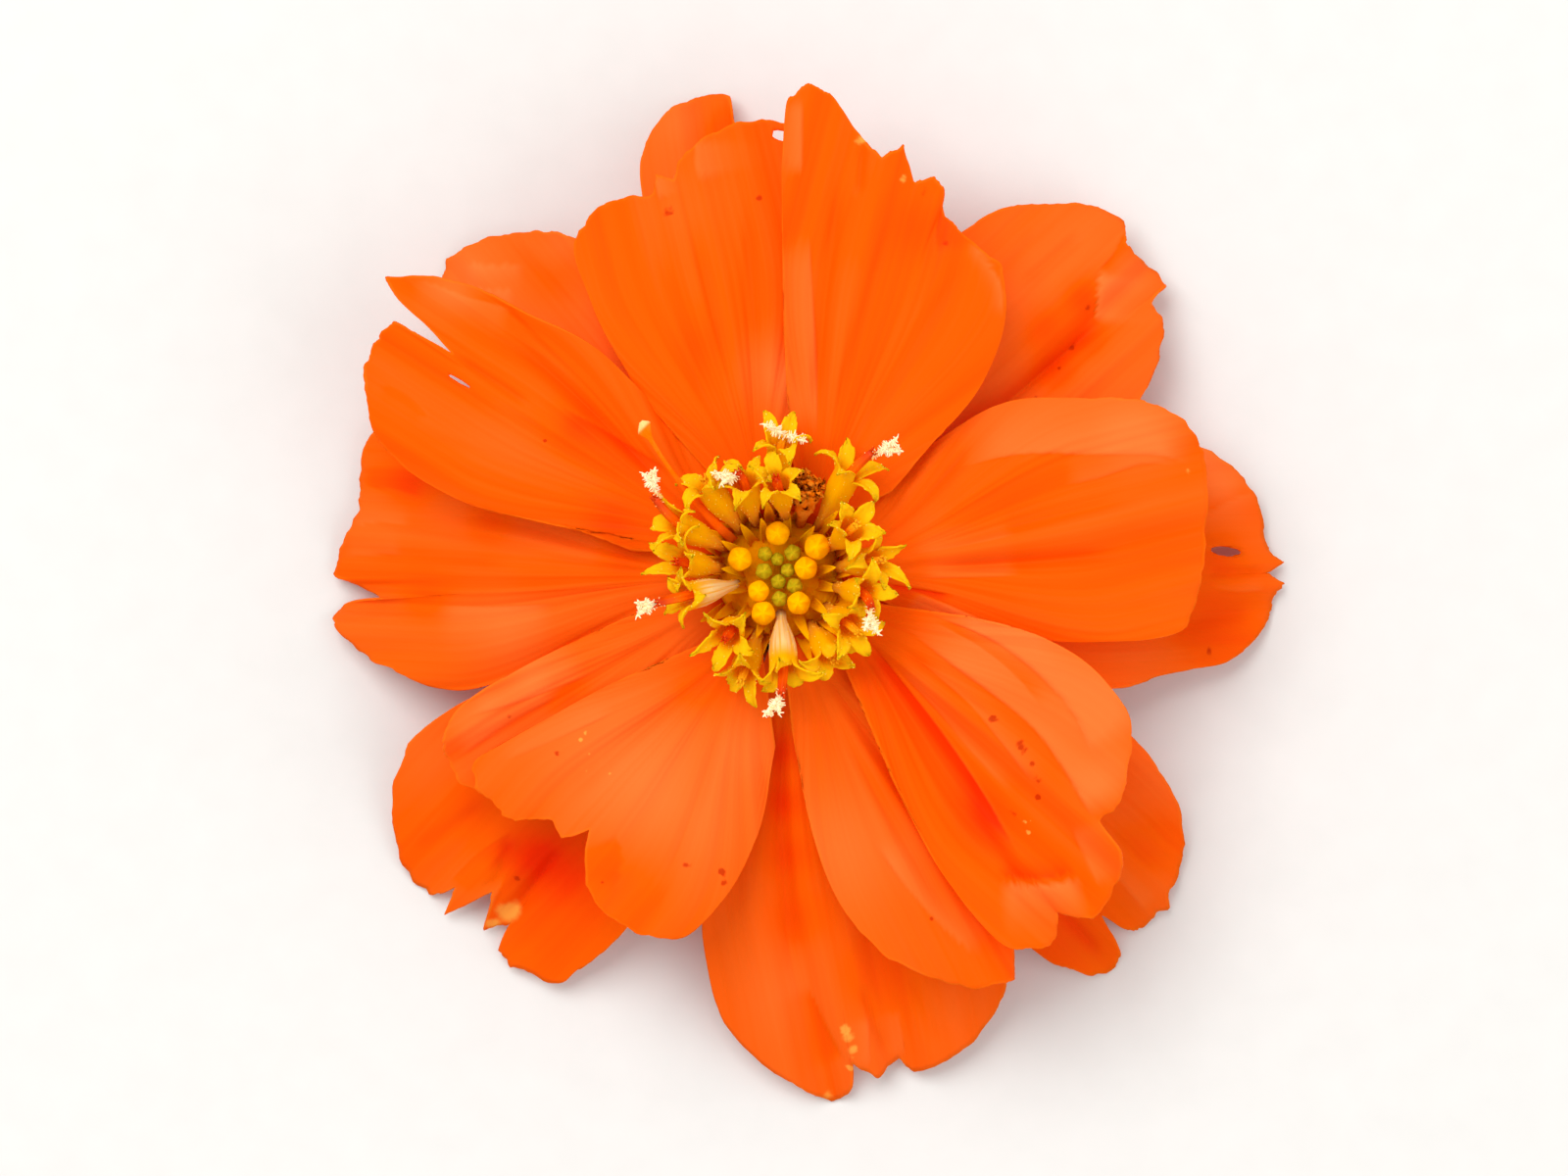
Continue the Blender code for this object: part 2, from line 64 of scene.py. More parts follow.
FOOT_RADIUS = 4.3           # where the petals' blades start
CLAW_WIDTH = 2.4            # how wide a blade is there
BLADE_LENGTH = 22.0         # the length and half width that blades are measured against
BLADE_HALF_WIDTH = 8.5
OUTER_FOOT_HEIGHT = 8.3
INNER_FOOT_HEIGHT = 9.5
DISC_HEIGHT = 9.0           # the top of the receptacle's dome
DISC_FALL = 0.05            # how fast the dome falls away with the square of the radius
SEAT_GAP = 0.3              # how far over the dome florets and buds start
FLOOR_GAP = 0.02            # how far the lowest petals stay over the floor

Array = np.ndarray
Color = tuple[float, float, float]
Material = bpy.types.Material
Piece = bpy.types.Object
Socket = bpy.types.NodeSocket


# ---------------------------------------------------------------- shader expressions


class Value:
    """A number socket that Python's operators work on."""

    def __init__(self, tree: Tree, socket: Socket) -> None:
        """Wrap one output socket of a tree."""
        self.tree = tree
        self.socket = socket

    def math(self, operation: str, *others: Value | float, clamp: bool = False) -> Value:
        """Return the result of a Math node that starts with this value."""
        return self.tree.math(operation, self, *others, clamp=clamp)

    def __add__(self, other: Value | float) -> Value:
        """Add."""
        return self.math("ADD", other)

    __radd__ = __add__

    def __mul__(self, other: Value | float) -> Value:
        """Multiply."""
        return self.math("MULTIPLY", other)

    __rmul__ = __mul__

    def __sub__(self, other: Value | float) -> Value:
        """Subtract."""
        return self.math("SUBTRACT", other)

    def __rsub__(self, other: float) -> Value:
        """Subtract this value from a number."""
        return self.tree.math("SUBTRACT", other, self)

    def __truediv__(self, other: Value | float) -> Value:
        """Divide."""
        return self.math("DIVIDE", other)

    def clamped(self) -> Value:
        """Return this value kept from 0 to 1."""
        return self.math("ADD", 0.0, clamp=True)

    def step(self, low: float, high: float) -> Value:
        """Return a smooth step that is 0 at low and 1 at high."""
        return self.tree.step(self, low, high)


Input = Value | Socket | float | tuple


class Tree:
    """A node tree built by method calls."""

    def __init__(self, tree: bpy.types.NodeTree) -> None:
        """Work in an empty node tree."""
        self.tree = tree

    def add(self, kind: str, settings: dict | None = None,
            inputs: dict[str | int, Input] | None = None) -> bpy.types.Node:
        """Add any node.

        Args:
            kind: the node's type, such as ShaderNodeMath.
            settings: its properties, set before its sockets.
            inputs: its input sockets, by name or number, as values or links.

        Returns:
            The new node.
        """
        node = self.tree.nodes.new(kind)
        for key, setting in (settings or {}).items():
            setattr(node, key, setting)
        for key, given in (inputs or {}).items():
            if isinstance(given, Value):
                self.tree.links.new(given.socket, node.inputs[key])
            elif isinstance(given, Socket):
                self.tree.links.new(given, node.inputs[key])
            else:
                node.inputs[key].default_value = given
        return node

    def value(self, node: bpy.types.Node, output: str | int = 0) -> Value:
        """Wrap an output of a node."""
        return Value(self, node.outputs[output])

    def math(self, operation: str, *operands: Value | float, clamp: bool = False) -> Value:
        """Add a Math node over values and numbers.

        Args:
            operation: the node's operation.
            operands: its inputs in order.
            clamp: whether the result is kept from 0 to 1.

        Returns:
            The node's result.
        """
        node = self.add("ShaderNodeMath", {"operation": operation, "use_clamp": clamp},
                        dict(enumerate(operands)))
        return self.value(node)

    def step(self, value: Value, low: float, high: float) -> Value:
        """Add a smooth step of a value.

        Args:
            value: what is mapped.
            low: where the step is 0.
            high: where the step is 1; it may be below low.

        Returns:
            The stepped value.
        """
        node = self.add("ShaderNodeMapRange", {"interpolation_type": "SMOOTHSTEP"},
                        {"Value": value, "From Min": low, "From Max": high})
        return self.value(node)

    def vector(self, x: Value | float, y: Value | float, z: Value | float = 0.0
               ) -> Socket:
        """Return a vector made of three values."""
        return self.add("ShaderNodeCombineXYZ", None, {"X": x, "Y": y, "Z": z}).outputs[0]


class Shader(Tree):
    """One material's node tree."""

    def __init__(self, name: str) -> None:
        """Start an empty tree in a new material.

        Args:
            name: the material's name.
        """
        self.material = bpy.data.materials.new(name)
        self.material.use_nodes = True
        super().__init__(self.material.node_tree)
        self.tree.nodes.clear()

    def place(self) -> Socket:
        """Return the object coordinates in metres."""
        return self.add("ShaderNodeTexCoord").outputs["Object"]

    def attribute(self, name: str) -> Value:
        """Return a number stored on the mesh."""
        return self.value(self.add("ShaderNodeAttribute", {"attribute_name": name}), "Fac")

    def surface(self) -> tuple[Value, Value]:
        """Read a piece's surface coordinates.

        Returns:
            How far a point is across and along its piece, from 0 to 1.
        """
        uv = self.add("ShaderNodeUVMap", {"uv_map": "surface"}).outputs["UV"]
        parts = self.add("ShaderNodeSeparateXYZ", inputs={"Vector": uv})
        return self.value(parts, "X"), self.value(parts, "Y")

    def noise(self, vector: Socket, scale: float, detail: float = 3.0,
              roughness: float = 0.5) -> Value:
        """Add a noise texture.

        Args:
            vector: where it is read.
            scale: its frequency.
            detail: its octaves.
            roughness: how strong the finer octaves are.

        Returns:
            The noise, about 0 to 1.
        """
        node = self.add("ShaderNodeTexNoise", None, {
            "Vector": vector, "Scale": scale, "Detail": detail, "Roughness": roughness})
        return self.value(node, "Fac")

    def mix(self, factor: Input, first: Input, second: Input) -> Socket:
        """Mix two colours.

        Args:
            factor: 0 for the first colour, 1 for the second.
            first: a colour or a colour socket.
            second: a colour or a colour socket.

        Returns:
            The mixed colour's socket.
        """
        def padded(color: Input) -> Input:
            """Give a plain colour its alpha."""
            return (*color, 1.0) if isinstance(color, tuple) and len(color) == 3 else color
        node = self.add("ShaderNodeMix", {"data_type": "RGBA", "clamp_factor": True},
                        {0: factor, 6: padded(first), 7: padded(second)})
        return node.outputs[2]

    def near(self, spot: Array, radius: float, ragged: Value, amount: float = 4.0) -> Value:
        """Return 1 at a spot, falling to 0 at a radius, in a ragged outline.

        Args:
            spot: the spot in metres.
            radius: the mark's radius in millimetres.
            ragged: a noise that the outline follows.
            amount: how far it follows it.

        Returns:
            The mark's strength.
        """
        node = self.add("ShaderNodeVectorMath", {"operation": "DISTANCE"},
                        {0: self.place(), 1: tuple(spot)})
        share = self.value(node, "Value") / (radius * MM) + (ragged - 0.5) * amount
        return share.step(1.0, 0.35)

    def bump(self, height: Value, strength: float, distance: float) -> Socket:
        """Turn a height into a normal.

        Args:
            height: the height, 0 to 1.
            strength: how much of it is kept.
            distance: the height of 1, in millimetres.

        Returns:
            The normal's socket.
        """
        node = self.add("ShaderNodeBump", None, {
            "Height": height, "Strength": strength, "Distance": distance * MM})
        return node.outputs["Normal"]

    def finish(self, color: Input, roughness: Input, normal: Socket | None,
               constants: dict[str, float | tuple], see_through: float = 0.0,
               glow: Color = (1.0, 1.0, 1.0)) -> Material:
        """Close the tree with a Principled surface.

        Args:
            color: its base colour's socket.
            roughness: its roughness.
            normal: its bumped normal, or None.
            constants: further sockets that are the same all over.
            see_through: the share of light that comes through from behind.
            glow: the colour of that light.

        Returns:
            The finished material.
        """
        inputs = {"Base Color": color, "Roughness": roughness, **constants}
        if normal is not None:
            inputs["Normal"] = normal
        skin = self.add("ShaderNodeBsdfPrincipled", None, inputs).outputs[0]
        if see_through > 0.0:
            behind = self.add("ShaderNodeBsdfTranslucent", None, {"Color": (*glow, 1.0)})
            skin = self.add("ShaderNodeMixShader", None, {
                0: see_through, 1: skin, 2: behind.outputs[0]}).outputs[0]
        self.add("ShaderNodeOutputMaterial", None, {"Surface": skin})
        return self.material


# ---------------------------------------------------------------- finishes


@dataclass(frozen=True)
class PetalFinish:
    """The satin skin of a ray petal, with its veins, pale rim and flecks, and painted light and shade: a
    pale sheen colour, a deeper shade colour, paler ridges and darker folds.
    """

    main: Color = (1.0, 0.138, 0.0)
    deep: Color = (0.95, 0.034, 0.0)
    # deep is partly painted shade and partly random darker streaks; light is partly painted sheen and
    # partly random paler streaks
    light: Color = (1.0, 0.24, 0.042)
    rim: Color = (1.0, 0.30, 0.01)
    fleck: Color = (0.45, 0.02, 0.0)
    blemish: Color = (1.0, 0.55, 0.08)
    veins: float = 60.0
    translucence: float = 0.36

    def material(self, name: str, flecks: Sequence[tuple[Array, float]] = (),
                 pale_spots: Sequence[tuple[Array, float]] = ()) -> Material:
        """Build the skin.

        Args:
            name: the material's name.
            flecks: dark red flecks, as place in metres and radius in millimetres.
            pale_spots: yellow blemishes, as place and radius.

        Returns:
            The material.
        """
        s = Shader(name)
        across, along = s.surface()
        relief_shading = s.attribute("relief_shading")
        streak = s.noise(s.vector(across * self.veins, along * 1.4), 1.0, 4.0, 0.6)
        broad = s.noise(s.vector(across * 7.0, along * 0.8), 1.0, 2.0)
        cloud = s.noise(s.place(), 140.0, 2.0)
        # paler towards the light colour: random streaks and clouds, plus painted light from the tone and
        # painted highlights on the ridges of the relief
        pale = (streak - 0.5) * 0.25 + (cloud - 0.5) * 0.20 + s.attribute("tone") + relief_shading * 0.10
        color = s.mix(pale.clamped(), self.main, self.light)
        # deeper towards the deep colour: random broad and streaky darkening, plus painted shade from the
        # tone and in the folds and creases, and darker towards the foot
        dark = (0.5 - broad) * 0.7 + (0.5 - streak) * 0.30 - s.attribute("tone") - relief_shading * 0.22
        color = s.mix((dark + along.step(0.20, 0.0) * 0.15).clamped(), color, self.deep)
        edge = s.attribute("edge") + (streak - 0.5) * 0.2
        color = s.mix(edge.step(0.18, 0.02) * 0.30, color, self.rim)
        ragged = s.noise(s.vector(across * 14.0, along * 30.0), 1.0, 3.0, 0.6)
        for spot, radius in flecks:
            color = s.mix(s.near(spot, radius, ragged) * 0.75, color, self.fleck)
        for spot, radius in pale_spots:
            mark = s.near(spot, radius, ragged, min(4.0, 0.9 / radius))
            color = s.mix(mark * 0.70, color, self.blemish)
        fine = s.noise(s.vector(across * self.veins * 2.2, along * 3.0), 1.0, 2.0)
        cells = s.noise(s.place(), 5200.0, 1.0)
        height = streak * 0.55 + fine * 0.3 + cells * 0.15
        return s.finish(color, 0.50 + (streak - 0.5) * 0.25, s.bump(height, 0.5, 0.06),
                        {"Specular IOR Level": 0.03},
                        self.translucence, (1.0, 0.10, 0.0))


@dataclass(frozen=True)
class CorollaFinish:
    """A disc floret's corolla: its tube below, its yellow lobes above, with painted highlights on the
    lobes' ribs.
    """

    lobe: Color = (1.0, 0.67, 0.006)
    lobe_base: Color = (1.0, 0.53, 0.0)
    tube: Color = (1.0, 0.44, 0.0)
    foot: Color = (0.60, 0.15, 0.005)
    stripe: Color = (0.85, 0.62, 0.25)
    striped: float = 0.1
    yellow: tuple[float, float] = (0.26, 0.52)

    def material(self, name: str) -> Material:
        """Build the corolla's skin from its surface coordinates.

        Args:
            name: the material's name.

        Returns:
            The material.
        """
        s = Shader(name)
        across, along = s.surface()
        ribs = s.noise(s.vector(across * 26.0, along * 1.2), 1.0, 3.0)
        blotch = s.noise(s.place(), 1500.0, 3.0)
        color = s.mix(along.step(0.03, 0.22), self.foot, self.tube)
        color = s.mix(ribs.step(0.38, 0.55) * along.step(0.66, 0.54) * self.striped,
                      color, self.stripe)
        color = s.mix(along.step(*self.yellow), color, self.lobe_base)
        color = s.mix(along.step(0.58, 0.74) * (0.45 + blotch * 0.9).clamped(), color, self.lobe)
        # painted highlight: paler yellow on the crests of the ribs in the lobes
        color = s.mix((ribs - 0.55) * along.step(0.6, 0.8) * 1.2, color, (1.0, 0.85, 0.12))
        height = ribs * 0.7 + s.noise(s.place(), 6000.0, 2.0) * 0.3
        return s.finish(color, 0.42 + blotch * 0.15, s.bump(height, 0.6, 0.05),
                        {"Specular IOR Level": 0.0, "Subsurface Weight": 0.15,
                         "Subsurface Radius": (1.0, 0.5, 0.1), "Subsurface Scale": 0.0004},
                        0.38, (1.0, 0.48, 0.0))


@dataclass(frozen=True)
class GrownFinish:
    """A plain plant skin that runs between two colours along the piece."""

    foot: Color
    tip: Color
    patch: Color
    patch_share: float = 0.3
    grain: float = 900.0
    ribs: float = 20.0
    roughness: float = 0.5
    relief: float = 0.05
    turn: tuple[float, float] = (0.2, 0.8)
    specular: float = 0.0

    def material(self, name: str) -> Material:
        """Build the skin from surface and object coordinates.

        Args:
            name: the material's name.

        Returns:
            The material.
        """
        s = Shader(name)
        across, along = s.surface()
        grain = s.noise(s.place(), self.grain, 4.0, 0.6)
        rib = s.noise(s.vector(across * self.ribs, along * 1.5), 1.0, 3.0)
        color = s.mix(along.step(*self.turn), self.foot, self.tip)
        color = s.mix((grain * 0.6 + rib * 0.4).step(0.42, 0.62) * self.patch_share,
                      color, self.patch)
        height = grain * 0.4 + rib * 0.6
        return s.finish(color, self.roughness + (grain - 0.5) * 0.2,
                        s.bump(height, 0.6, self.relief),
                        {"Specular IOR Level": self.specular, "Subsurface Weight": 0.1,
                         "Subsurface Radius": (1.0, 0.4, 0.1), "Subsurface Scale": 0.0004})


class Skin(Enum):
    """The finishes that more than one piece shares."""

    BUD_GOLD = GrownFinish((0.55, 0.14, 0.0), (1.0, 0.44, 0.0), (1.0, 0.58, 0.0), 0.5,
                           1800.0, 5.0, 0.42, 0.04, (0.15, 0.75))
    BUD_GREEN = GrownFinish((0.26, 0.10, 0.0), (0.42, 0.33, 0.005), (0.72, 0.46, 0.01), 0.45,
                            2200.0, 5.0, 0.42, 0.04, (0.1, 0.7))
    ANTHER = GrownFinish((0.95, 0.13, 0.0), (0.58, 0.03, 0.0), (0.85, 0.07, 0.0), 0.5,
                         1600.0, 12.0, 0.4, 0.04, (0.5, 1.0), 0.1)
    ANTHER_GOLD = GrownFinish((1.0, 0.30, 0.0), (0.95, 0.45, 0.01), (0.70, 0.12, 0.0), 0.4,
                              1600.0, 12.0, 0.4, 0.04, (0.3, 1.0))
    SCALE = GrownFinish((1.0, 0.32, 0.0), (1.0, 0.50, 0.0), (0.80, 0.18, 0.0), 0.4,
                        1200.0, 14.0, 0.55, 0.05, (0.1, 0.9))
    STYLE = GrownFinish((0.98, 0.45, 0.08), (0.95, 0.76, 0.42), (1.0, 0.90, 0.70), 0.5,
                        2500.0, 4.0, 0.55, 0.02, (0.0, 0.45))
    FADED = GrownFinish((0.70, 0.13, 0.0), (0.85, 0.16, 0.0), (1.0, 0.42, 0.04), 0.5,
                        1500.0, 12.0, 0.7, 0.08)
    OUTER_BRACT = GrownFinish((0.12, 0.22, 0.03), (0.06, 0.14, 0.02), (0.20, 0.30, 0.06), 0.5,
                              700.0, 14.0, 0.6, 0.06, specular=0.25)
    INNER_BRACT = GrownFinish((0.16, 0.22, 0.05), (0.55, 0.30, 0.06), (0.30, 0.10, 0.02), 0.5,
                              600.0, 90.0, 0.6, 0.05, (0.1, 0.8), 0.25)
    STEM = GrownFinish((0.52, 0.56, 0.26), (0.12, 0.21, 0.03), (0.22, 0.12, 0.04), 0.35,
                       900.0, 30.0, 0.55, 0.05, (0.0, 0.06), 0.25)
    RECEPTACLE = GrownFinish((0.20, 0.18, 0.04), (1.0, 0.34, 0.0), (1.0, 0.48, 0.0), 0.5,
                             1500.0, 40.0, 0.8, 0.15, (0.2, 0.5))
    CHAFF = GrownFinish((0.98, 0.13, 0.0), (1.0, 0.58, 0.20), (1.0, 0.22, 0.02), 0.3,
                        1200.0, 16.0, 0.5, 0.04, (0.80, 0.90))
    POLLEN = GrownFinish((1.0, 0.55, 0.02), (1.0, 0.62, 0.04), (1.0, 0.80, 0.20), 0.5,
                         4000.0, 3.0, 0.7, 0.02)

    def material(self) -> Material:
        """Return this finish's material, made once."""
        name = self.name.lower() + "_skin"
        return bpy.data.materials.get(name) or self.value.material(name)


# ---------------------------------------------------------------- meshes


def polar(bearing: float | Array, reach: float | Array, height: float | Array = 0.0) -> Array:
    """Return points round the axis.

    Args:
        bearing: their bearings in degrees.
        reach: their distances from the axis.
        height: their heights.

    Returns:
        The points, with their coordinates last.
    """
    angle = np.radians(np.asarray(bearing, float))
    reach = np.asarray(reach, float)
    flat = np.zeros(np.broadcast(angle, reach, height).shape)
    return np.stack([reach * np.cos(angle) + flat, reach * np.sin(angle) + flat,
                     np.asarray(height, float) + flat], axis=-1)


def to_frame(points: Array) -> Array:
    """Turn millimetres round the flower's axis into metres in the shared frame."""
    return np.asarray(points, float) * MM + np.array([AXIS.x, AXIS.y, 0.0])


def ease(value: Array) -> Array:
    """Smooth step from 0 to 1."""
    value = np.clip(value, 0.0, 1.0)
    return value * value * (3.0 - 2.0 * value)


def unit(vector: Array) -> Array:
    """Return vectors at length 1."""
    return vector / np.maximum(np.linalg.norm(vector, axis=-1, keepdims=True), 1e-12)


def distance(points: Array, point: Array) -> Array:
    """Return how far points lie from a point in plan."""
    return np.hypot(*(points - point)[..., :2].transpose(2, 0, 1))


def arc(start: Array, bend: Array, end: Array, places: Array) -> Array:
    """Return points at places from 0 to 1 on the curve to an end that a bend pulls aside."""
    t = places[:, None]
    return start * (1 - t) ** 2 + bend * 2 * t * (1 - t) + end * t ** 2


def pairs(across: Array, along: Array) -> Array:
    """Return the surface coordinates of a grid from those of its columns and its rows."""
    return np.stack(np.broadcast_arrays(across, along), -1)


def smooth_line(points: Array, per_span: int) -> tuple[Array, Array]:
    """Run a rounded curve through points, sharp where the line turns hard.

    Args:
        points: the points, one a row.
        per_span: how many steps go from each point to the next.

    Returns:
        The curve's points, and each one's place in the list as a fraction.
    """
    steps = np.diff(points, axis=0)
    lengths = np.linalg.norm(steps, axis=1)
    heads = steps / lengths[:, None]
    tangents = np.zeros_like(points)
    tangents[0], tangents[-1] = heads[0], heads[-1]
    for i in range(1, len(points) - 1):
        turn = float(np.clip(heads[i - 1] @ heads[i], 0.0, 1.0))
        blend = heads[i - 1] * lengths[i] + heads[i] * lengths[i - 1]
        tangents[i] = unit(blend) * turn ** 0.7
    line, places = [], []
    for i, (start, end) in enumerate(zip(points, points[1:])):
        for t in np.arange(per_span) / per_span:
            a, b = 2 * t ** 3 - 3 * t ** 2 + 1, t ** 3 - 2 * t ** 2 + t
            c, d = 3 * t ** 2 - 2 * t ** 3, t ** 3 - t ** 2
            line.append(a * start + b * tangents[i] * lengths[i] + c * end
                        + d * tangents[i + 1] * lengths[i])
            places.append(i + t)
    return np.array([*line, points[-1]]), np.array([*places, len(points) - 1.0])


@dataclass
class Sheet:
    """Points, faces and surface coordinates of a mesh that is being put together."""

    points: list[Array] = field(default_factory=list)
    faces: list[tuple[int, ...]] = field(default_factory=list)
    surface: list[Array] = field(default_factory=list)
    count: int = 0

    def add_points(self, points: Array, surface: Array) -> Array:
        """Add a grid of points.

        Args:
            points: the points, in any grid shape.
            surface: how far across and along each one is.

        Returns:
            The points' numbers, in the same grid shape.
        """
        flat = points.reshape(-1, 3)
        numbers = np.arange(self.count, self.count + len(flat)).reshape(points.shape[:-1])
        self.points.append(flat)
        self.surface.append(surface.reshape(-1, 2))
        self.count += len(flat)
        return numbers

    def quads(self, numbers: Array, around: bool = False) -> None:
        """Face a grid of points.

        Args:
            numbers: the points' numbers.
            around: whether the grid closes round its second side.
        """
        rows, columns = numbers.shape
        for r in range(rows - 1):
            for c in range(columns if around else columns - 1):
                n = (c + 1) % columns
                self.faces.append((numbers[r, c], numbers[r, n],
                                   numbers[r + 1, n], numbers[r + 1, c]))

    def cap(self, ring: Array, center: Array, along: float, top: bool) -> None:
        """Close a ring on a pole.

        Args:
            ring: the ring's point numbers.
            center: the pole.
            along: the pole's surface coordinate.
            top: whether it closes the upper end.
        """
        pole = int(self.add_points(center.reshape(1, 3), np.array([[0.5, along]]))[0])
        for i, first in enumerate(ring):
            second = ring[(i + 1) % len(ring)]
            self.faces.append((first, second, pole) if top else (second, first, pole))

    def closed(self, rings: Array, surface: Array, poles: Sequence[Array],
               along: tuple[float, float] = (0.0, 1.0)) -> None:
        """Add a stack of rings with both of its ends closed.

        Args:
            rings: the points, one ring a row.
            surface: their surface coordinates.
            poles: the points that close the first and the last ring.
            along: the poles' surface coordinates.
        """
        numbers = self.add_points(rings, surface)
        self.quads(numbers, around=True)
        self.cap(numbers[0], poles[0], along[0], top=False)
        self.cap(numbers[-1], poles[1], along[1], top=True)

    def tube(self, path: Array, radii: Array, sides: int, along: tuple[float, float],
             ribs: int = 0, rib_depth: float = 0.0) -> None:
        """Add a closed round piece along a path.

        Args:
            path: the points of its middle line.
            radii: its radius at each point.
            sides: how many sides it has.
            along: its surface coordinates at the first and last point.
            ribs: how many ribs run along it.
            rib_depth: how deep their grooves are, as a share of the radius.
        """
        heads = unit(np.gradient(path, axis=0))
        sideways = unit(np.cross(heads, np.array([0.31, 0.17, 0.93])))
        upright = np.cross(heads, sideways)
        turns = np.linspace(0.0, math.tau, sides, endpoint=False)
        share = 1.0 + rib_depth * (np.cos(ribs * turns) - 1.0) / 2 if ribs else np.ones(sides)
        ring = (sideways[:, None] * np.cos(turns)[None, :, None]
                + upright[:, None] * np.sin(turns)[None, :, None])
        points = path[:, None] + ring * (radii[:, None] * share[None, :])[..., None]
        run = np.linspace(*along, len(path))
        surface = pairs(turns[None, :] / math.tau, run[:, None])
        self.closed(points, surface, (path[0], path[-1]), along)

    def build(self, name: str, finish: Material,
              numbers: dict[str, Array] | None = None) -> Piece:
        """Make the object, at the origin, with its place in its mesh.

        Args:
            name: the piece's name.
            finish: its material.
            numbers: further numbers stored on its points.

        Returns:
            The new object.
        """
        mesh = bpy.data.meshes.new(name)
        points = to_frame(np.concatenate(self.points))
        mesh.from_pydata(points.tolist(), [], [tuple(map(int, f)) for f in self.faces])
        surface = np.concatenate(self.surface)
        corners = np.zeros(len(mesh.loops), np.int32)
        mesh.loops.foreach_get("vertex_index", corners)
        layer = mesh.uv_layers.new(name="surface")
        layer.data.foreach_set("uv", surface[corners].astype(np.float32).ravel())
        for key, values in (numbers or {}).items():
            stored = mesh.attributes.new(key, 'FLOAT', 'POINT')
            stored.data.foreach_set("value", np.asarray(values, np.float32).ravel())
        mesh.shade_smooth()
        mesh.materials.append(finish)
        return add_object(name, mesh)


def add_object(name: str, data: bpy.types.ID) -> Piece:
    """Add an object to the scene.

    Args:
        name: its name.
        data: its mesh, light or camera.

    Returns:
        The new object.
    """
    made = bpy.data.objects.new(name, data)
    bpy.context.scene.collection.objects.link(made)
    return made


def thicken(piece: Piece, thickness: float) -> None:
    """Give a sheet an even wall and keep the result as its mesh.

    Args:
        piece: the sheet.
        thickness: the wall's thickness in millimetres.
    """
    shell = piece.modifiers.new("wall", 'SOLIDIFY')
    shell.thickness = thickness * MM
    shell.offset = 0.0
    apply_modifiers(piece)


def apply_modifiers(piece: Piece) -> None:
    """Replace a piece's mesh with its evaluated mesh and drop the modifiers.

    Args:
        piece: the piece.
    """
    bpy.context.view_layer.update()
    graph = bpy.context.evaluated_depsgraph_get()
    result = bpy.data.meshes.new_from_object(piece.evaluated_get(graph), depsgraph=graph)
    piece.modifiers.clear()
    piece.data = result


def hand_over(piece: Piece, slot: str, *nodes: str) -> None:
    """Tell the frame what a piece rides on, and hide the CAD nodes that it stands for.

    Args:
        piece: the piece.
        slot: not used.
        nodes: the CAD nodes that it stands for.
    """
    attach(piece, BODY)
    if nodes:
        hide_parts(*nodes)


# ---------------------------------------------------------------- petals


def blade_half_width(run: Array) -> Array:
    """Return half the width that a blade is measured across in, a share of the way along."""
    return CLAW_WIDTH / 2 + (BLADE_HALF_WIDTH - CLAW_WIDTH / 2) * ease(run * 1.5)


@dataclass(frozen=True)
class Crease:
    """A fold line in a petal, between two places given as bearing and reach."""

    start: tuple[float, float]
    end: tuple[float, float]
    depth: float = 0.4
    width: float = 0.5


@dataclass(frozen=True)
class Fold:
    """A crisp fold: the blade steps up along a line and falls away again on its left side.

    line is a run of (bearing, reach) places. rise is the step in millimetres, tone how much
    painted light (above zero) or painted shade lies on the raised side, and width how far both
    fade out.
    """

    line: tuple[tuple[float, float], ...]
    tone: float = 0.5
    width: float = 1.5
    rise: float = 0.10

    def strength(self, points: Array) -> Array:
        """Work out how strongly the fold acts on points.

        Args:
            points: the points.

        Returns:
            The strength, from 0 to 1.
        """
        path, _ = smooth_line(np.array([polar(*place) for place in self.line]), 6)
        nearest = np.full(points.shape[:-1], np.inf)
        side, run = np.zeros(nearest.shape), np.zeros(nearest.shape)
        for i, (start, end) in enumerate(zip(path, path[1:])):
            step = (end - start)[:2]
            offset = (points - start)[..., :2]
            place = np.clip(offset @ step / (step @ step), 0.0, 1.0)
            gap = offset - place[..., None] * step
            away = np.hypot(gap[..., 0], gap[..., 1])
            closer = away < nearest
            nearest = np.where(closer, away, nearest)
            left = step[0] * offset[..., 1] - step[1] * offset[..., 0]
            side = np.where(closer, left / np.hypot(*step), side)
            run = np.where(closer, (i + place) / (len(path) - 1), run)
        taper = ease(run * 5.0) * ease((1.0 - run) * 5.0)
        return taper * ease(side / 0.12) * np.exp(-(nearest / self.width) ** 1.5)


@dataclass(frozen=True)
class Hole:
    """An oval hole in a petal: its place, half length, half width and direction."""

    bearing: float
    reach: float
    length: float
    width: float
    direction: float

    PULLED = 0.35       # points nearer the middle than this stay, and are cut away

    def offset(self, points: Array) -> Array:
        """Return points' offsets from the hole's middle."""
        return points - polar(self.bearing, self.reach)

    def level(self, points: Array) -> Array:
        """Measure how far out points lie in the hole.

        Args:
            points: the points.

        Returns:
            Their levels, the hole's rim being at 1.
        """
        offset = self.offset(points)
        return np.hypot(offset @ polar(self.direction, 1.0) / self.length,
                        offset @ polar(self.direction + 90.0, 1.0) / self.width)

    def opened(self, grid: Array) -> Array:
        """Draw the points inside the hole out to its rim, so that its edge is smooth.

        Args:
            grid: the points.

        Returns:
            The points, with those inside moved.
        """
        level = self.level(grid)
        inside = (level < 1.0) & (level > self.PULLED)
        offset = self.offset(grid) * [1.0, 1.0, 0.0]
        moved = grid.copy()
        moved[inside] += (offset * (1.0 / np.maximum(level, self.PULLED) - 1.0)[..., None])[inside]
        return moved


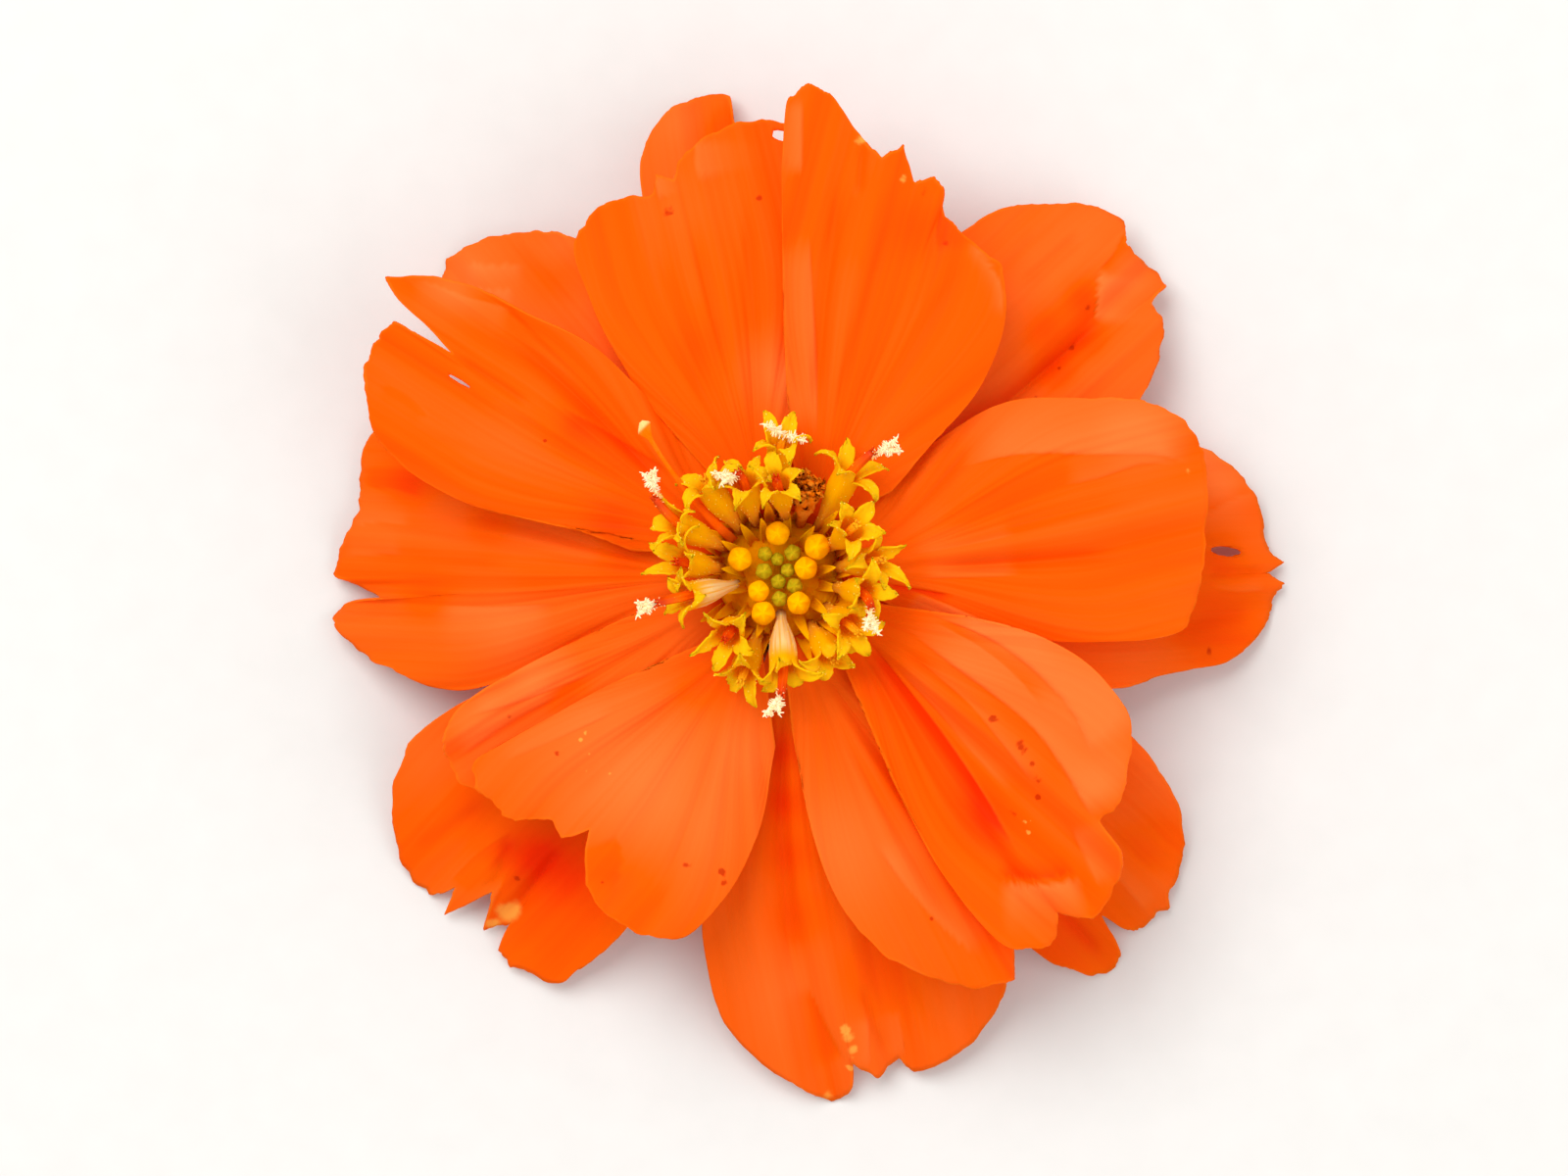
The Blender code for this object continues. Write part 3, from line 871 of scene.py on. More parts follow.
@dataclass(frozen=True)
class Petal:
    """One ray petal: its outline, how its blade hangs, and the marks it has picked up.

    foot is the bearing of its foot on the disc. rim runs counter-clockwise round the blade's
    edge as (bearing, reach). climb and droop raise the blade along its length, tilt raises
    its counter-clockwise side, cup raises both sides, and pleats are grooves as (place
    across from -1 to 1, depth, width). tones are patches of painted light (above zero) or
    painted shade as (bearing, reach, radius, amount), and shade is painted light over the
    whole blade. flecks and blemishes are marks as (bearing, reach, radius), ruffle is how
    far the rim waves up and down, and ragged how far the small teeth of its far side stand out.
    """

    node: str
    foot: float
    rim: tuple[tuple[float, float], ...]
    climb: float
    droop: float
    tilt: float = 0.0
    cup: float = 0.0
    pleats: tuple[tuple[float, float, float], ...] = ()
    outer: bool = False
    lift: float = 0.0
    slot: str = "petal_orange"
    creases: tuple[Crease, ...] = ()
    folds: tuple[Fold, ...] = ()
    # painted light and shade: shade lifts the whole blade, tones are paler or deeper patches
    shade: float = 0.0
    painted_shading_patches: tuple[tuple[float, float, float, float], ...] = ()
    flecks: tuple[tuple[float, float, float], ...] = ()
    blemishes: tuple[tuple[float, float, float], ...] = ()
    holes: tuple[Hole, ...] = ()
    ruffle: float = 0.10
    ragged: float = 0.05

    THICKNESS = 0.14
    ROWS = 60               # rows of points from the foot to the rim
    CLAW_ROWS = 5           # further rows that run in under the disc
    CLAW_DROP = 0.9         # how far the claw sinks there
    LEAST_TURN = math.radians(0.09)     # between two columns at the blade's sides
    TEETH = (0.25, 0.5, 1.0, 0.5, 0.25)
    STEPS = 11              # columns between two points of the rim
    RELIEF = ((4, 5.0, 12.0, 0.06), (5, 16.0, 34.0, 0.022), (6, 60.0, 110.0, 0.006))

    def frame(self) -> tuple[Array, Array, Array]:
        """Work out the blade's own directions.

        Returns:
            Its foot point, its direction and its sideways direction.
        """
        foot = polar(self.foot, FOOT_RADIUS)
        rim = np.array([polar(*place) for place in self.rim])
        along = unit(rim.mean(axis=0) - foot)
        return foot, along, np.array([-along[1], along[0], 0.0])

    def lie(self, points: Array) -> tuple[Array, Array]:
        """Place points of the plan on the blade.

        Args:
            points: the points.

        Returns:
            How far they are across (-1 to 1) and along (0 to 1) the blade.
        """
        foot, along, sideways = self.frame()
        offset = points - foot
        run = np.maximum(0.0, offset @ along) / BLADE_LENGTH
        return offset @ sideways / blade_half_width(run), run

    def hang(self, points: Array) -> Array:
        """Work out the height of the blade's smooth surface.

        Args:
            points: points in plan.

        Returns:
            The height over each one.
        """
        side, run = self.lie(points)
        free = ease(run * 2.2)
        height = (OUTER_FOOT_HEIGHT if self.outer else INNER_FOOT_HEIGHT) + self.lift
        height = height + self.climb * run - self.droop * run * run
        height += free * (self.tilt * side * blade_half_width(run) + self.cup * side * side)
        for place, depth, width in self.pleats:
            height -= free * depth * np.exp(-((side - place) / width) ** 2)
        return height

    def relief(self, side: Array, run: Array) -> Array:
        """Return the shallow pleats and veins that run along the blade.

        Args:
            side: how far across each point is.
            run: how far along each point is.

        Returns:
            The relief in millimetres, about -0.2 to 0.2.
        """
        random = np.random.default_rng(round(self.foot) + 11)
        height = np.zeros_like(side)
        for waves, low, high, amount in self.RELIEF:
            for _ in range(waves):
                pitch, phase = random.uniform(low, high), random.uniform(0.0, math.tau)
                drift = random.uniform(-2.0, 2.0)
                height += amount * np.sin(pitch * side + phase + drift * run)
        return height * ease(run * 2.5)

    def folded(self, points: Array) -> Array:
        """Work out how far the creases lower points in plan.

        Args:
            points: the points.

        Returns:
            The depths.
        """
        depth = np.zeros(points.shape[:-1])
        for crease in self.creases:
            start, end = polar(*crease.start), polar(*crease.end)
            length = np.linalg.norm(end - start)
            heading = (end - start) / length
            place = np.clip((points - start) @ heading / length, 0.0, 1.0)
            away = np.linalg.norm(points - (start + place[..., None] * (end - start)), axis=-1)
            taper = ease(place * 4.0) * ease((1.0 - place) * 4.0)
            depth += crease.depth * taper * np.exp(-(away / crease.width) ** 2)
        return depth

    def on_blade(self, bearing: float, reach: float) -> Array:
        """Find the place of a mark on the blade.

        Args:
            bearing: the mark's bearing.
            reach: its reach.

        Returns:
            The place in metres in the shared frame.
        """
        point = polar(bearing, reach)
        side, run = self.lie(point)
        point[2] = self.hang(point) + self.relief(side, run) - self.folded(point)
        return to_frame(point)

    def toothed_rim(self, random: np.random.Generator) -> tuple[Array, Array]:
        """Draw the rim, with small teeth along its far side.

        Args:
            random: what varies the teeth.

        Returns:
            The rim's points, and each one's place in the table.
        """
        rim, places = smooth_line(np.array([polar(*place) for place in self.rim]), self.STEPS)
        teeth = random.normal(size=len(rim) + len(self.TEETH) - 1)
        teeth = np.convolve(teeth, self.TEETH, "valid") * self.ragged
        far = ease((self.lie(rim)[1] - 0.62) / 0.15)
        return rim + unit(rim - self.frame()[0]) * (teeth * far)[:, None], places

    def fan(self, rim: Array, places: Array) -> Array:
        """Lay the blade out in plan as a fan of columns that starts under the disc.

        Args:
            rim: the points of the rim.
            places: their places in the table.

        Returns:
            The points, one row for each step out.
        """
        foot, along, sideways = self.frame()
        across = 2.0 * places / places[-1] - 1.0
        start = foot + sideways * (across * CLAW_WIDTH / 2)[:, None]
        rim = self.spread(rim, start, along, sideways)
        runs = (np.arange(self.ROWS) / (self.ROWS - 1)) ** 0.8
        inward = self.inward()[:, None]
        claw = start[None] * (1.0 - 0.17 * inward) - sideways * inward * 0.3 * across[None, :, None]
        return np.concatenate([claw, start[None] + runs[:, None, None] * (rim - start)[None]])

    def inward(self) -> Array:
        """Return how far in under the disc each row of the claw lies, from 1."""
        return (np.arange(self.CLAW_ROWS, 0, -1) / self.CLAW_ROWS)[:, None]

    def shape(self) -> tuple[Sheet, dict[str, Array]]:
        """Raise the fan to its height, with its folds, creases, ruffles and holes.

        Returns:
            The blade's sheet, and its points' numbers: tone and groove, which are painted light and
            shade, and edge.
        """
        random = np.random.default_rng(round(self.foot) + 5)
        rim, places = self.toothed_rim(random)
        grid = self.fan(rim, places)
        side, run = self.lie(grid)
        edge = np.full(grid.shape[:2], np.inf)
        for point in np.concatenate([grid[:, 0], grid[-1], grid[::-1, -1]]):
            edge = np.minimum(edge, distance(grid, point))
        relief, fold = self.relief(side, run), self.folded(grid)
        wave = sum(np.sin(places * random.uniform(0.8, 3.4) + random.uniform(0.0, math.tau))
                   for _ in range(4))
        curl = self.ruffle * wave[None] * np.exp(-edge / 1.6) * ease(run * 1.6)
        # painted light and shade: the blade's shade, each fold's paler or deeper side, and each patch in
        # tones
        tone = np.full(grid.shape[:2], self.shade)
        raised = np.zeros(grid.shape[:2])
        for step in self.folds:
            strength = step.strength(grid)
            raised += strength * step.rise
            tone += strength * step.tone
        grid[..., 2] = self.hang(grid) + relief - fold + curl + raised
        grid[:self.CLAW_ROWS, :, 2] -= self.CLAW_DROP * self.inward() ** 1.5
        for hole in self.holes:
            grid = hole.opened(grid)
        grid[..., 2] = np.maximum(grid[..., 2], self.THICKNESS / 2 + FLOOR_GAP)
        for bearing, reach, radius, amount in self.painted_shading_patches:
            tone += amount * np.exp(-(distance(grid, polar(bearing, reach)) / radius) ** 2)
        sheet = Sheet()
        numbers = sheet.add_points(grid, np.stack([side * 0.5 + 0.5, run], -1))
        sheet.quads(numbers)
        sheet.faces = [f for f in sheet.faces if not self.torn(grid.reshape(-1, 3)[list(f)])]
        sheet.faces = [face[::-1] for face in sheet.faces]
        # painted light on the ridges of the relief and painted shade in its hollows and creases
        relief_shading = relief / 0.2 - fold / 0.35
        return sheet, {"tone": tone, "relief_shading": relief_shading, "edge": edge}

    def spread(self, rim: Array, start: Array, along: Array, sideways: Array) -> Array:
        """Turn the rim's side points outwards so that the columns there never cross.

        Args:
            rim: the far ends of the columns.
            start: their near ends.
            along: the blade's direction.
            sideways: its sideways direction.

        Returns:
            The far ends, turned about the near ends where the columns would cross.
        """
        offset = rim - start
        turns = np.arctan2(offset @ sideways, offset @ along)
        reach = 3 * self.STEPS
        for i in range(reach, -1, -1):
            turns[i] = min(turns[i], turns[i + 1] - self.LEAST_TURN)
        for i in range(len(turns) - reach, len(turns)):
            turns[i] = max(turns[i], turns[i - 1] + self.LEAST_TURN)
        length = np.linalg.norm(offset, axis=1)
        return start + along * (length * np.cos(turns))[:, None] \
            + sideways * (length * np.sin(turns))[:, None]

    def torn(self, corners: Array) -> bool:
        """Say whether a face lies in a hole."""
        middle = corners.mean(axis=0)
        return any(hole.level(middle) < 0.97 for hole in self.holes)

    def build(self, finish: PetalFinish) -> Piece:
        """Make the petal and hand it to the frame.

        Args:
            finish: its finish.

        Returns:
            The piece.
        """
        sheet, numbers = self.shape()
        flecks = [(self.on_blade(b, r), size) for b, r, size in self.flecks]
        blemishes = [(self.on_blade(b, r), size) for b, r, size in self.blemishes]
        piece = sheet.build(self.node + "_blade",
                            finish.material(self.node + "_skin", flecks, blemishes), numbers)
        thicken(piece, self.THICKNESS)
        hand_over(piece, self.slot, self.node)
        return piece


# tones and shade in each petal are painted light and shade; flecks and blemishes are its real marks
PETALS = (
    Petal("outer_petal_1", 276, (
        (-103, 15), (-102, 21.3), (-97, 26.1), (-89, 29.3), (-84, 30.8), (-82, 30.2),
        (-81.5, 28.6), (-79, 29.6), (-76, 28.9), (-75, 29.8), (-68, 29.4), (-61, 27.1),
        (-59, 22), (-59.7, 15)),
        climb=1.6, droop=6.4, tilt=0.05, cup=-0.9, outer=True,
        pleats=((-0.35, 0.7, 0.12), (0.2, 0.8, 0.14)),
        creases=(Crease((-90, 9), (-88, 24), 0.3, 0.5), Crease((-79, 24), (-77, 28.8), 0.3, 0.3),
                 Crease((-72, 24), (-71, 29), 0.25, 0.35)),
        folds=(Fold(((-82, 28.4), (-84, 26), (-86, 23.5)), -0.35, 1.4, -0.12),
               Fold(((-79.5, 29.2), (-79, 27.5), (-78.5, 26)), 0.35, 0.9, 0.1),
               Fold(((-75.2, 29), (-74.8, 27.2), (-74.5, 26)), 0.3, 0.9, 0.1)),
        shade=0.15,
        painted_shading_patches=((-88.5, 10, 1.4, -0.95), (-88.5, 13, 1.3, -0.85), (-87.5, 16, 1.4, -0.6),
               (-86, 19.5, 1.6, -0.35), (-75, 23.5, 2.6, -0.4), (-90, 24, 2.6, 0.25)),
        blemishes=((-81.8, 26.5, 0.35), (-81.4, 27.1, 0.45), (-81.2, 27.7, 0.42),
                   (-81.2, 28.3, 0.3), (-81.8, 28.9, 0.25), (-84.6, 30.3, 0.5))),
    Petal("outer_petal_2", 317, (
        (-64, 14), (-61, 20), (-57, 24.5), (-54, 28), (-51, 29.9), (-48, 29.8),
        (-46.5, 27.1), (-45, 29.2), (-42, 29.7), (-38, 29.2), (-33, 28.1), (-28, 25.6),
        (-24, 22), (-22, 16)),
        climb=0.8, droop=6.1, tilt=0.05, cup=-0.6, lift=-0.3, outer=True,
        pleats=((-0.1, 0.6, 0.15), (0.45, 0.7, 0.12)),
        creases=(Crease((-50, 24), (-49.5, 29), 0.3, 0.35), Crease((-36, 22), (-38, 28), 0.25, 0.4)),
        folds=(Fold(((-41, 24.5), (-42, 27), (-42.5, 29)), 0.3, 1.2, 0.1),),
        shade=0.12,
        painted_shading_patches=((-37, 26.5, 1.8, -0.35), (-52, 26.5, 3.0, -0.5), (-30, 24.5, 2.2, 0.2)),
        ragged=0.07),
    Petal("outer_petal_3", 355, (
        (-21, 14), (-18, 20.9), (-14, 23.4), (-10, 27), (-5, 28.6), (-2, 28.9), (-0.9, 29.5),
        (0.4, 28.5), (1.6, 29.4), (3.5, 28.4), (8, 28.4), (12, 27.6), (16.5, 25.9),
        (19, 21), (18.2, 14)),
        climb=1.0, droop=6.7, tilt=0.04, cup=-0.8, outer=True,
        pleats=((-0.3, 0.7, 0.12), (0.3, 0.6, 0.15)),
        creases=(Crease((0.5, 24.5), (0.5, 28.5), 0.25, 0.4), Crease((-8, 22), (-4, 28), 0.25, 0.5)),
        folds=(Fold(((8, 25), (9.5, 26.6), (10, 28)), -0.4, 0.9, -0.08),
               Fold(((-1.5, 25), (-2, 26.5), (-1.6, 28.4)), 0.3, 0.6, 0.08)),
        shade=0.15,
        painted_shading_patches=((-13, 21.5, 2.0, 0.15), (-5, 25.5, 2.5, -0.5), (3, 25.5, 1.3, -0.4),
               (11.5, 26.4, 1.5, 0.75), (16, 25.2, 1.3, 0.6)),
        flecks=((-10, 25.2, 0.36), (-8, 22.9, 0.22)),
        holes=(Hole(3.2, 26.0, 0.95, 0.30, -4),)),
    Petal("outer_petal_4", 36, (
        (15, 13), (19, 18), (25.7, 23), (30, 25.4), (33.6, 26.7), (36.4, 27), (37, 28.1),
        (40.3, 28.1), (43.8, 28), (45.3, 28.7), (49.6, 28.2), (54, 26.7), (58, 25.3),
        (62, 22.6), (62.5, 15)),
        climb=0.4, droop=4.8, tilt=0.07, cup=-0.5, lift=-0.3, outer=True,
        pleats=((-0.15, 0.8, 0.12), (0.45, 0.5, 0.15)),
        creases=(Crease((36.8, 14.4), (38.3, 24.0), 0.5, 0.35),
                 Crease((50.5, 21.5), (48.3, 26.8), 0.35, 0.4), Crease((54, 19), (53, 25.5), 0.2, 0.5)),
        folds=(Fold(((43.9, 25.7), (41.5, 24.5), (38.8, 23.3)), 0.95, 1.5, 0.3),
               Fold(((45.2, 28.4), (44.2, 27), (44, 25.6)), -0.35, 0.8, -0.12)),
        shade=0.25,
        painted_shading_patches=((38.5, 16.5, 1.8, 0.25), (36.8, 20, 1.2, -0.45), (38, 22.5, 1.2, -0.45),
               (43, 21, 1.2, -0.4), (42.2, 23.8, 1.1, -0.6), (40.5, 27, 1.3, 0.5),
               (39.5, 8, 2.0, 0.9), (39, 12, 2.2, 0.7)),
        flecks=((41.2, 23.7, 0.4), (38, 21.6, 0.34), (35, 18.1, 0.3), (36.5, 20.2, 0.2))),
    Petal("outer_petal_5", 88, (
        (78, 14), (80, 21), (86, 23.4), (89, 24.0), (92, 24.4), (95.5, 26.3), (96, 28.2),
        (100, 28.3), (104, 27.6), (108, 25.8), (110, 23), (110, 15)),
        climb=1.0, droop=6.6, tilt=0.03, cup=-0.4, outer=True,
        pleats=((0.1, 0.6, 0.15),),
        shade=0.25,
        painted_shading_patches=((97, 26, 1.6, -0.4), (102, 27, 1.6, 0.3))),
    Petal("outer_petal_6", 131, (
        (113, 13), (114, 20), (121, 22.8), (123, 23.9), (127, 25), (132, 26.3), (136, 26.7),
        (138.5, 26.2), (141, 23.5), (142.5, 19), (144.5, 13)),
        climb=1.2, droop=8.4, tilt=-0.03, cup=-0.7, outer=True,
        pleats=((-0.2, 0.6, 0.15), (0.4, 0.5, 0.12)),
        creases=(Crease((126, 19), (128, 25), 0.2, 0.4),),
        folds=(Fold(((129, 23.5), (132, 24.4), (135, 25.9)), 0.5, 0.9, 0.1),
               Fold(((132.5, 22.6), (135, 23.6), (137, 25)), 0.5, 0.9, 0.1)),
        shade=0.30,
        painted_shading_patches=((127, 22, 2.0, -0.3), (124, 23, 1.2, 0.3), (136, 25.5, 1.4, 0.3))),
    Petal("outer_petal_7", 180, (
        (156, 13), (157, 20), (158, 24.4), (162, 25.3), (166, 25.1), (171, 24.8), (176, 25.6),
        (180, 25.9), (181, 24.6), (183.2, 23.2), (183.8, 25.5), (186, 26.1), (190, 24.8),
        (194, 22.9), (199, 20.2), (201, 14)),
        climb=1.3, droop=9.0, tilt=0.02, cup=-0.6, outer=True,
        pleats=((-0.35, 0.6, 0.12), (0.3, 0.9, 0.10)),
        creases=(Crease((174, 12), (172, 24.5), 0.3, 0.45), Crease((178, 15), (177, 25), 0.2, 0.4)),
        folds=(Fold(((187, 13), (186, 16.5), (184.8, 20)), 0.4, 1.6, 0.12),
               Fold(((173.5, 25), (172.5, 23.5), (172.5, 21.5)), 0.3, 0.8, 0.1),
               Fold(((177.5, 25.4), (177, 23.5), (176.5, 21.8)), 0.25, 0.8, 0.08),
               Fold(((168, 24.8), (167.5, 23), (167.8, 21)), -0.3, 1.0, -0.08)),
        shade=0.12,
        painted_shading_patches=((165.5, 22, 1.4, -0.5), (169, 17, 1.2, -0.45), (171, 9, 1.2, -0.5), (192, 16, 2.0, 0.3),
               (184, 20.5, 1.2, -0.3))),
    Petal("outer_petal_8", 228, (
        (203, 14), (202, 20.5), (205, 24), (212, 26.5), (217, 27.6), (222.5, 27.5),
        (223.8, 26.1), (225.3, 27.8), (227.8, 24.9), (230.1, 26.8), (232.2, 25.6),
        (233.3, 27.2), (236, 27.5), (241.5, 26.9), (244, 24.9), (247, 21.5), (247, 14)),
        climb=1.4, droop=8.1, tilt=-0.02, cup=-0.7, outer=True,
        pleats=((-0.3, 0.7, 0.14), (0.25, 0.8, 0.12)),
        creases=(Crease((224, 21.5), (227.5, 24.9), 0.35, 0.4),
                 Crease((231, 20), (231.5, 25.3), 0.3, 0.35),
                 Crease((218, 21), (217, 27), 0.2, 0.5)),
        folds=(Fold(((229.5, 26.2), (228.5, 24.6), (227.5, 23)), 0.35, 1.0, 0.12),
               Fold(((223.5, 21), (222.5, 24), (222.8, 26.2)), -0.35, 1.2, -0.08)),
        shade=0.05,
        painted_shading_patches=((235, 21.0, 2.4, -0.9), (227, 21.5, 1.8, -0.8), (217, 22, 1.4, -0.3),
               (208, 22.5, 3.0, 0.25),
               (236, 25, 2.0, -0.3)),
        flecks=((229, 23.2, 0.22),),
        blemishes=((231.0, 25.0, 1.0), (230.2, 26.1, 0.6)),
        ragged=0.07),
    Petal("inner_petal_1", 104, (
        (83, 13), (83.5, 18), (84, 23), (88.4, 26.0), (93, 26.1), (98, 25.8), (103, 24.7),
        (105, 23.6), (107, 24.1), (108.5, 23.1), (112, 23.5), (117, 23.4), (121, 22.7),
        (124.5, 19), (127.5, 13)),
        climb=2.0, droop=1.8, tilt=0.00, cup=-0.8,
        pleats=((-0.25, 0.5, 0.15), (0.35, 0.5, 0.13)),
        creases=(Crease((98, 8), (95, 22), 0.2, 0.4), Crease((107, 9), (103.5, 21), 0.2, 0.45),
                 Crease((113, 10), (111, 20), 0.15, 0.5)),
        folds=(Fold(((100.9, 25.6), (101.5, 24.4), (101.5, 23)), 0.5, 1.7, 0.12),
               Fold(((107.4, 24), (107.8, 22.7)), 0.45, 0.8, 0.08)),
        painted_shading_patches=((93, 12, 1.8, 0.35), (108, 14, 1.5, -0.2), (104, 22, 3.0, 0.2), (86, 11, 1.8, 0.5)),
        flecks=((107, 21.8, 0.34), (93, 21.7, 0.2)),
        holes=(Hole(89.6, 25.25, 0.62, 0.30, -14),)),
    Petal("inner_petal_2", 59, (
        (37, 8), (40.5, 11), (43.5, 16), (50, 20.2), (54, 21.6), (62.4, 22.3), (66, 22.9), (67.1, 24.1),
        (68.7, 24.4), (70.8, 23.8), (73.9, 25.5), (76.2, 24.7), (80, 25.8), (84, 27.6),
        (86.4, 28.2), (88.6, 27.4), (88.8, 24), (87.6, 17), (86, 11)),
        climb=2.6, droop=0.4, tilt=0.06, cup=-0.4, lift=0.3,
        pleats=((-0.2, 0.6, 0.14), (0.4, 0.5, 0.13)),
        creases=(Crease((77, 8), (81.5, 24), 0.25, 0.4), Crease((70, 8), (73, 22), 0.2, 0.4),
                 Crease((60, 9), (60, 21), 0.2, 0.4), Crease((78, 22), (79, 25.3), 0.25, 0.25)),
        folds=(Fold(((86.6, 22.8), (86.9, 25), (87.2, 27.4)), 0.7, 0.9, 0.15),
               Fold(((74, 8), (79.5, 12), (83, 16), (85, 20)), 0.5, 2.4, 0.08),
               Fold(((66.5, 23.2), (66, 22), (64, 20.5)), -0.35, 1.2, -0.08),
               Fold(((49, 19.6), (52, 20.8), (56, 21.6), (61, 22.1)), 0.7, 0.45, 0.0)),
        painted_shading_patches=((78, 21, 2.5, -0.15), (68, 21.5, 1.8, -0.3)),
        flecks=((69.4, 23.4, 0.26), (63.5, 21.3, 0.28)),
        blemishes=((79.2, 25.4, 0.45), (72.6, 23.7, 0.35))),
    Petal("inner_petal_3", 5, (
        (-17, 8.5), (-15, 12), (-12, 18.1), (-7, 23.5), (-3, 24), (1, 24.4), (8, 24.8), (14, 25.3),
        (18, 25.3), (22, 24.6), (26, 23), (30, 20.4), (37.5, 16.4), (41, 11), (42, 8)),
        climb=1.5, droop=1.9, tilt=-0.02, cup=-0.9,
        pleats=((-0.3, 0.7, 0.12), (0.15, 0.5, 0.15)),
        creases=(Crease((2, 8), (4, 20), 0.3, 0.35), Crease((10, 8), (12.5, 22), 0.25, 0.4)),
        folds=(Fold(((31, 11.5), (28, 14.5), (24.5, 17), (21.5, 19), (19.5, 21), (17.5, 23),
                     (15, 24.4)), 0.7, 3.2, 0.12),
               Fold(((17.5, 17), (17, 19.5), (17.2, 21.8), (15.5, 23.8)), 0.35, 1.2, 0.08),
               Fold(((8.5, 7.5), (9, 11), (9.5, 14)), 0.3, 1.1, 0.06),
               Fold(((-1, 8), (-0.5, 11), (0, 14)), 0.35, 1.4, 0.08),
               Fold(((-5.5, 10), (-4.5, 8), (-2.5, 6)), -0.9, 0.6, -0.12),
               Fold(((-12.5, 12.5), (-9, 9.5), (-5.5, 7.5)), 0.65, 1.5, 0.1)),
        shade=0.05,
        painted_shading_patches=((22, 22, 2.2, 0.4), (24, 13, 3.0, -0.15)),
        blemishes=((14.5, 24.3, 0.3),)),
    Petal("inner_petal_4", 328, (
        (-60, 13), (-61, 20), (-57.5, 25.2), (-53.5, 26.2), (-50.3, 25), (-47.7, 26.4),
        (-43, 26.2), (-39, 25.2), (-37.3, 23), (-34, 23.3), (-29, 22.8), (-23, 21.8),
        (-16, 18.4), (-13, 15.3), (-12, 11)),
        climb=2.6, droop=0.8, tilt=0.09, cup=0.8, lift=0.3, slot="petal_light",
        pleats=((-0.1, 1.4, 0.15), (-0.55, 0.6, 0.10)),
        creases=(Crease((-31, 8), (-33.5, 15), 0.2, 0.3), Crease((-50, 16), (-52, 24), 0.2, 0.4)),
        folds=(Fold(((-14, 8.5), (-17, 13), (-21, 16), (-25.5, 18.8), (-30, 20.6)), 0.8, 3.6, 0.2),
               Fold(((-22, 7.5), (-27, 11), (-29, 14), (-31, 17), (-34, 19.5), (-36.5, 21.5),
                     (-38, 22.8)), 0.75, 2.4, 0.2),
               Fold(((-16.5, 9), (-19.5, 12), (-22.5, 14.3), (-27, 17)), -0.5, 0.9, -0.08),
               Fold(((-31, 9), (-34, 13), (-37, 16), (-39.5, 19)), 0.4, 0.8, 0.08),
               Fold(((-37.5, 8), (-40.5, 12), (-42.5, 15), (-43.5, 18.5)), 0.35, 0.8, 0.1),
               Fold(((-49.5, 21.5), (-46.5, 17), (-43.5, 13), (-39.5, 9), (-33, 6)), -0.85, 1.4, -0.18),
               Fold(((-44.5, 24.4), (-48, 23.6), (-51, 22.6), (-54.5, 21.5)), 0.85, 1.8, 0.25),
               Fold(((-54.5, 21.2), (-51, 22.3), (-48, 23.3), (-44.5, 24.1)), -0.5, 0.8, -0.1),
               Fold(((-40.5, 22), (-42.5, 23.6), (-44.5, 25.6)), 0.45, 1.2, 0.12)),
        painted_shading_patches=((-22, 20, 2.6, 0.45), (-14, 13, 2.5, 0.45), (-32, 22, 1.6, 0.5), (-49, 18, 2.0, -0.25)),
        flecks=((-33.5, 14.7, 0.3), (-35.5, 17, 0.35), (-36.4, 17.9, 0.2), (-38.2, 18.9, 0.34),
               (-40.3, 19.5, 0.22), (-45.3, 19.1, 0.25), (-25.5, 15.8, 0.14), (-32, 20.2, 0.18)),
        blemishes=((-45, 19.9, 0.14), (-45.9, 20.4, 0.16), (-44.3, 20.1, 0.1))),
    Petal("inner_petal_5", 288, (
        (-84, 9), (-82.5, 15), (-79, 19.5), (-75, 22.2), (-69, 24.7), (-65, 26),
        (-59.9, 26.9), (-57.5, 25.2), (-53, 23), (-49, 20), (-50, 12)),
        climb=1.0, droop=1.6, tilt=-0.05, cup=-0.8,
        pleats=((-0.3, 0.5, 0.15), (0.3, 0.6, 0.13)),
        creases=(Crease((-70, 8), (-63, 24), 0.25, 0.4), Crease((-63, 9), (-58, 22), 0.2, 0.4)),
        folds=(Fold(((-70.5, 16), (-68, 19), (-65, 22.3), (-62.5, 24.8)), 0.45, 1.3, 0.12),),
        shade=0.10,
        painted_shading_patches=((-77, 16, 3.4, 0.5), (-60, 14, 2.0, -0.2), (-56, 20, 1.8, -0.2)),
        flecks=((-66, 21.5, 0.16),),
        blemishes=((-66.3, 18.2, 0.12), (-63.2, 21.8, 0.14))),
    Petal("inner_petal_6", 245, (
        (213.5, 11), (212.2, 16), (211.8, 20.6), (215, 21.1), (218, 20.8), (221, 21),
        (224, 20.1), (227, 19.1), (230.3, 19.5), (233.2, 18.1), (235.4, 19.6), (239, 21),
        (249, 22), (255, 21.4), (260, 18.9), (265, 15), (268.6, 9.7)),
        climb=2.4, droop=1.2, tilt=0.03, cup=-0.9, lift=0.3, slot="petal_light",
        pleats=((-0.3, 0.4, 0.15), (0.3, 0.4, 0.15)),
        creases=(Crease((232, 8), (226, 18), 0.15, 0.4), Crease((250, 8), (250, 19), 0.2, 0.4)),
        folds=(Fold(((214, 19.2), (216.5, 15.5), (220, 12)), 0.25, 0.8, 0.08),
               Fold(((243, 20.6), (240, 18), (237.5, 17.4)), -0.25, 2.4, -0.06)),
        painted_shading_patches=((228, 14, 5.0, 0.65), (250, 14.5, 4.5, 0.5), (260, 10, 2.0, 0.4), (241, 19.3, 2.8, -0.35),
               (235, 8, 1.6, -0.3)),
        flecks=((252, 17.4, 0.24), (259, 17.3, 0.26), (259.6, 17.9, 0.2), (240, 20.2, 0.12),
               (218.5, 16.3, 0.2)),
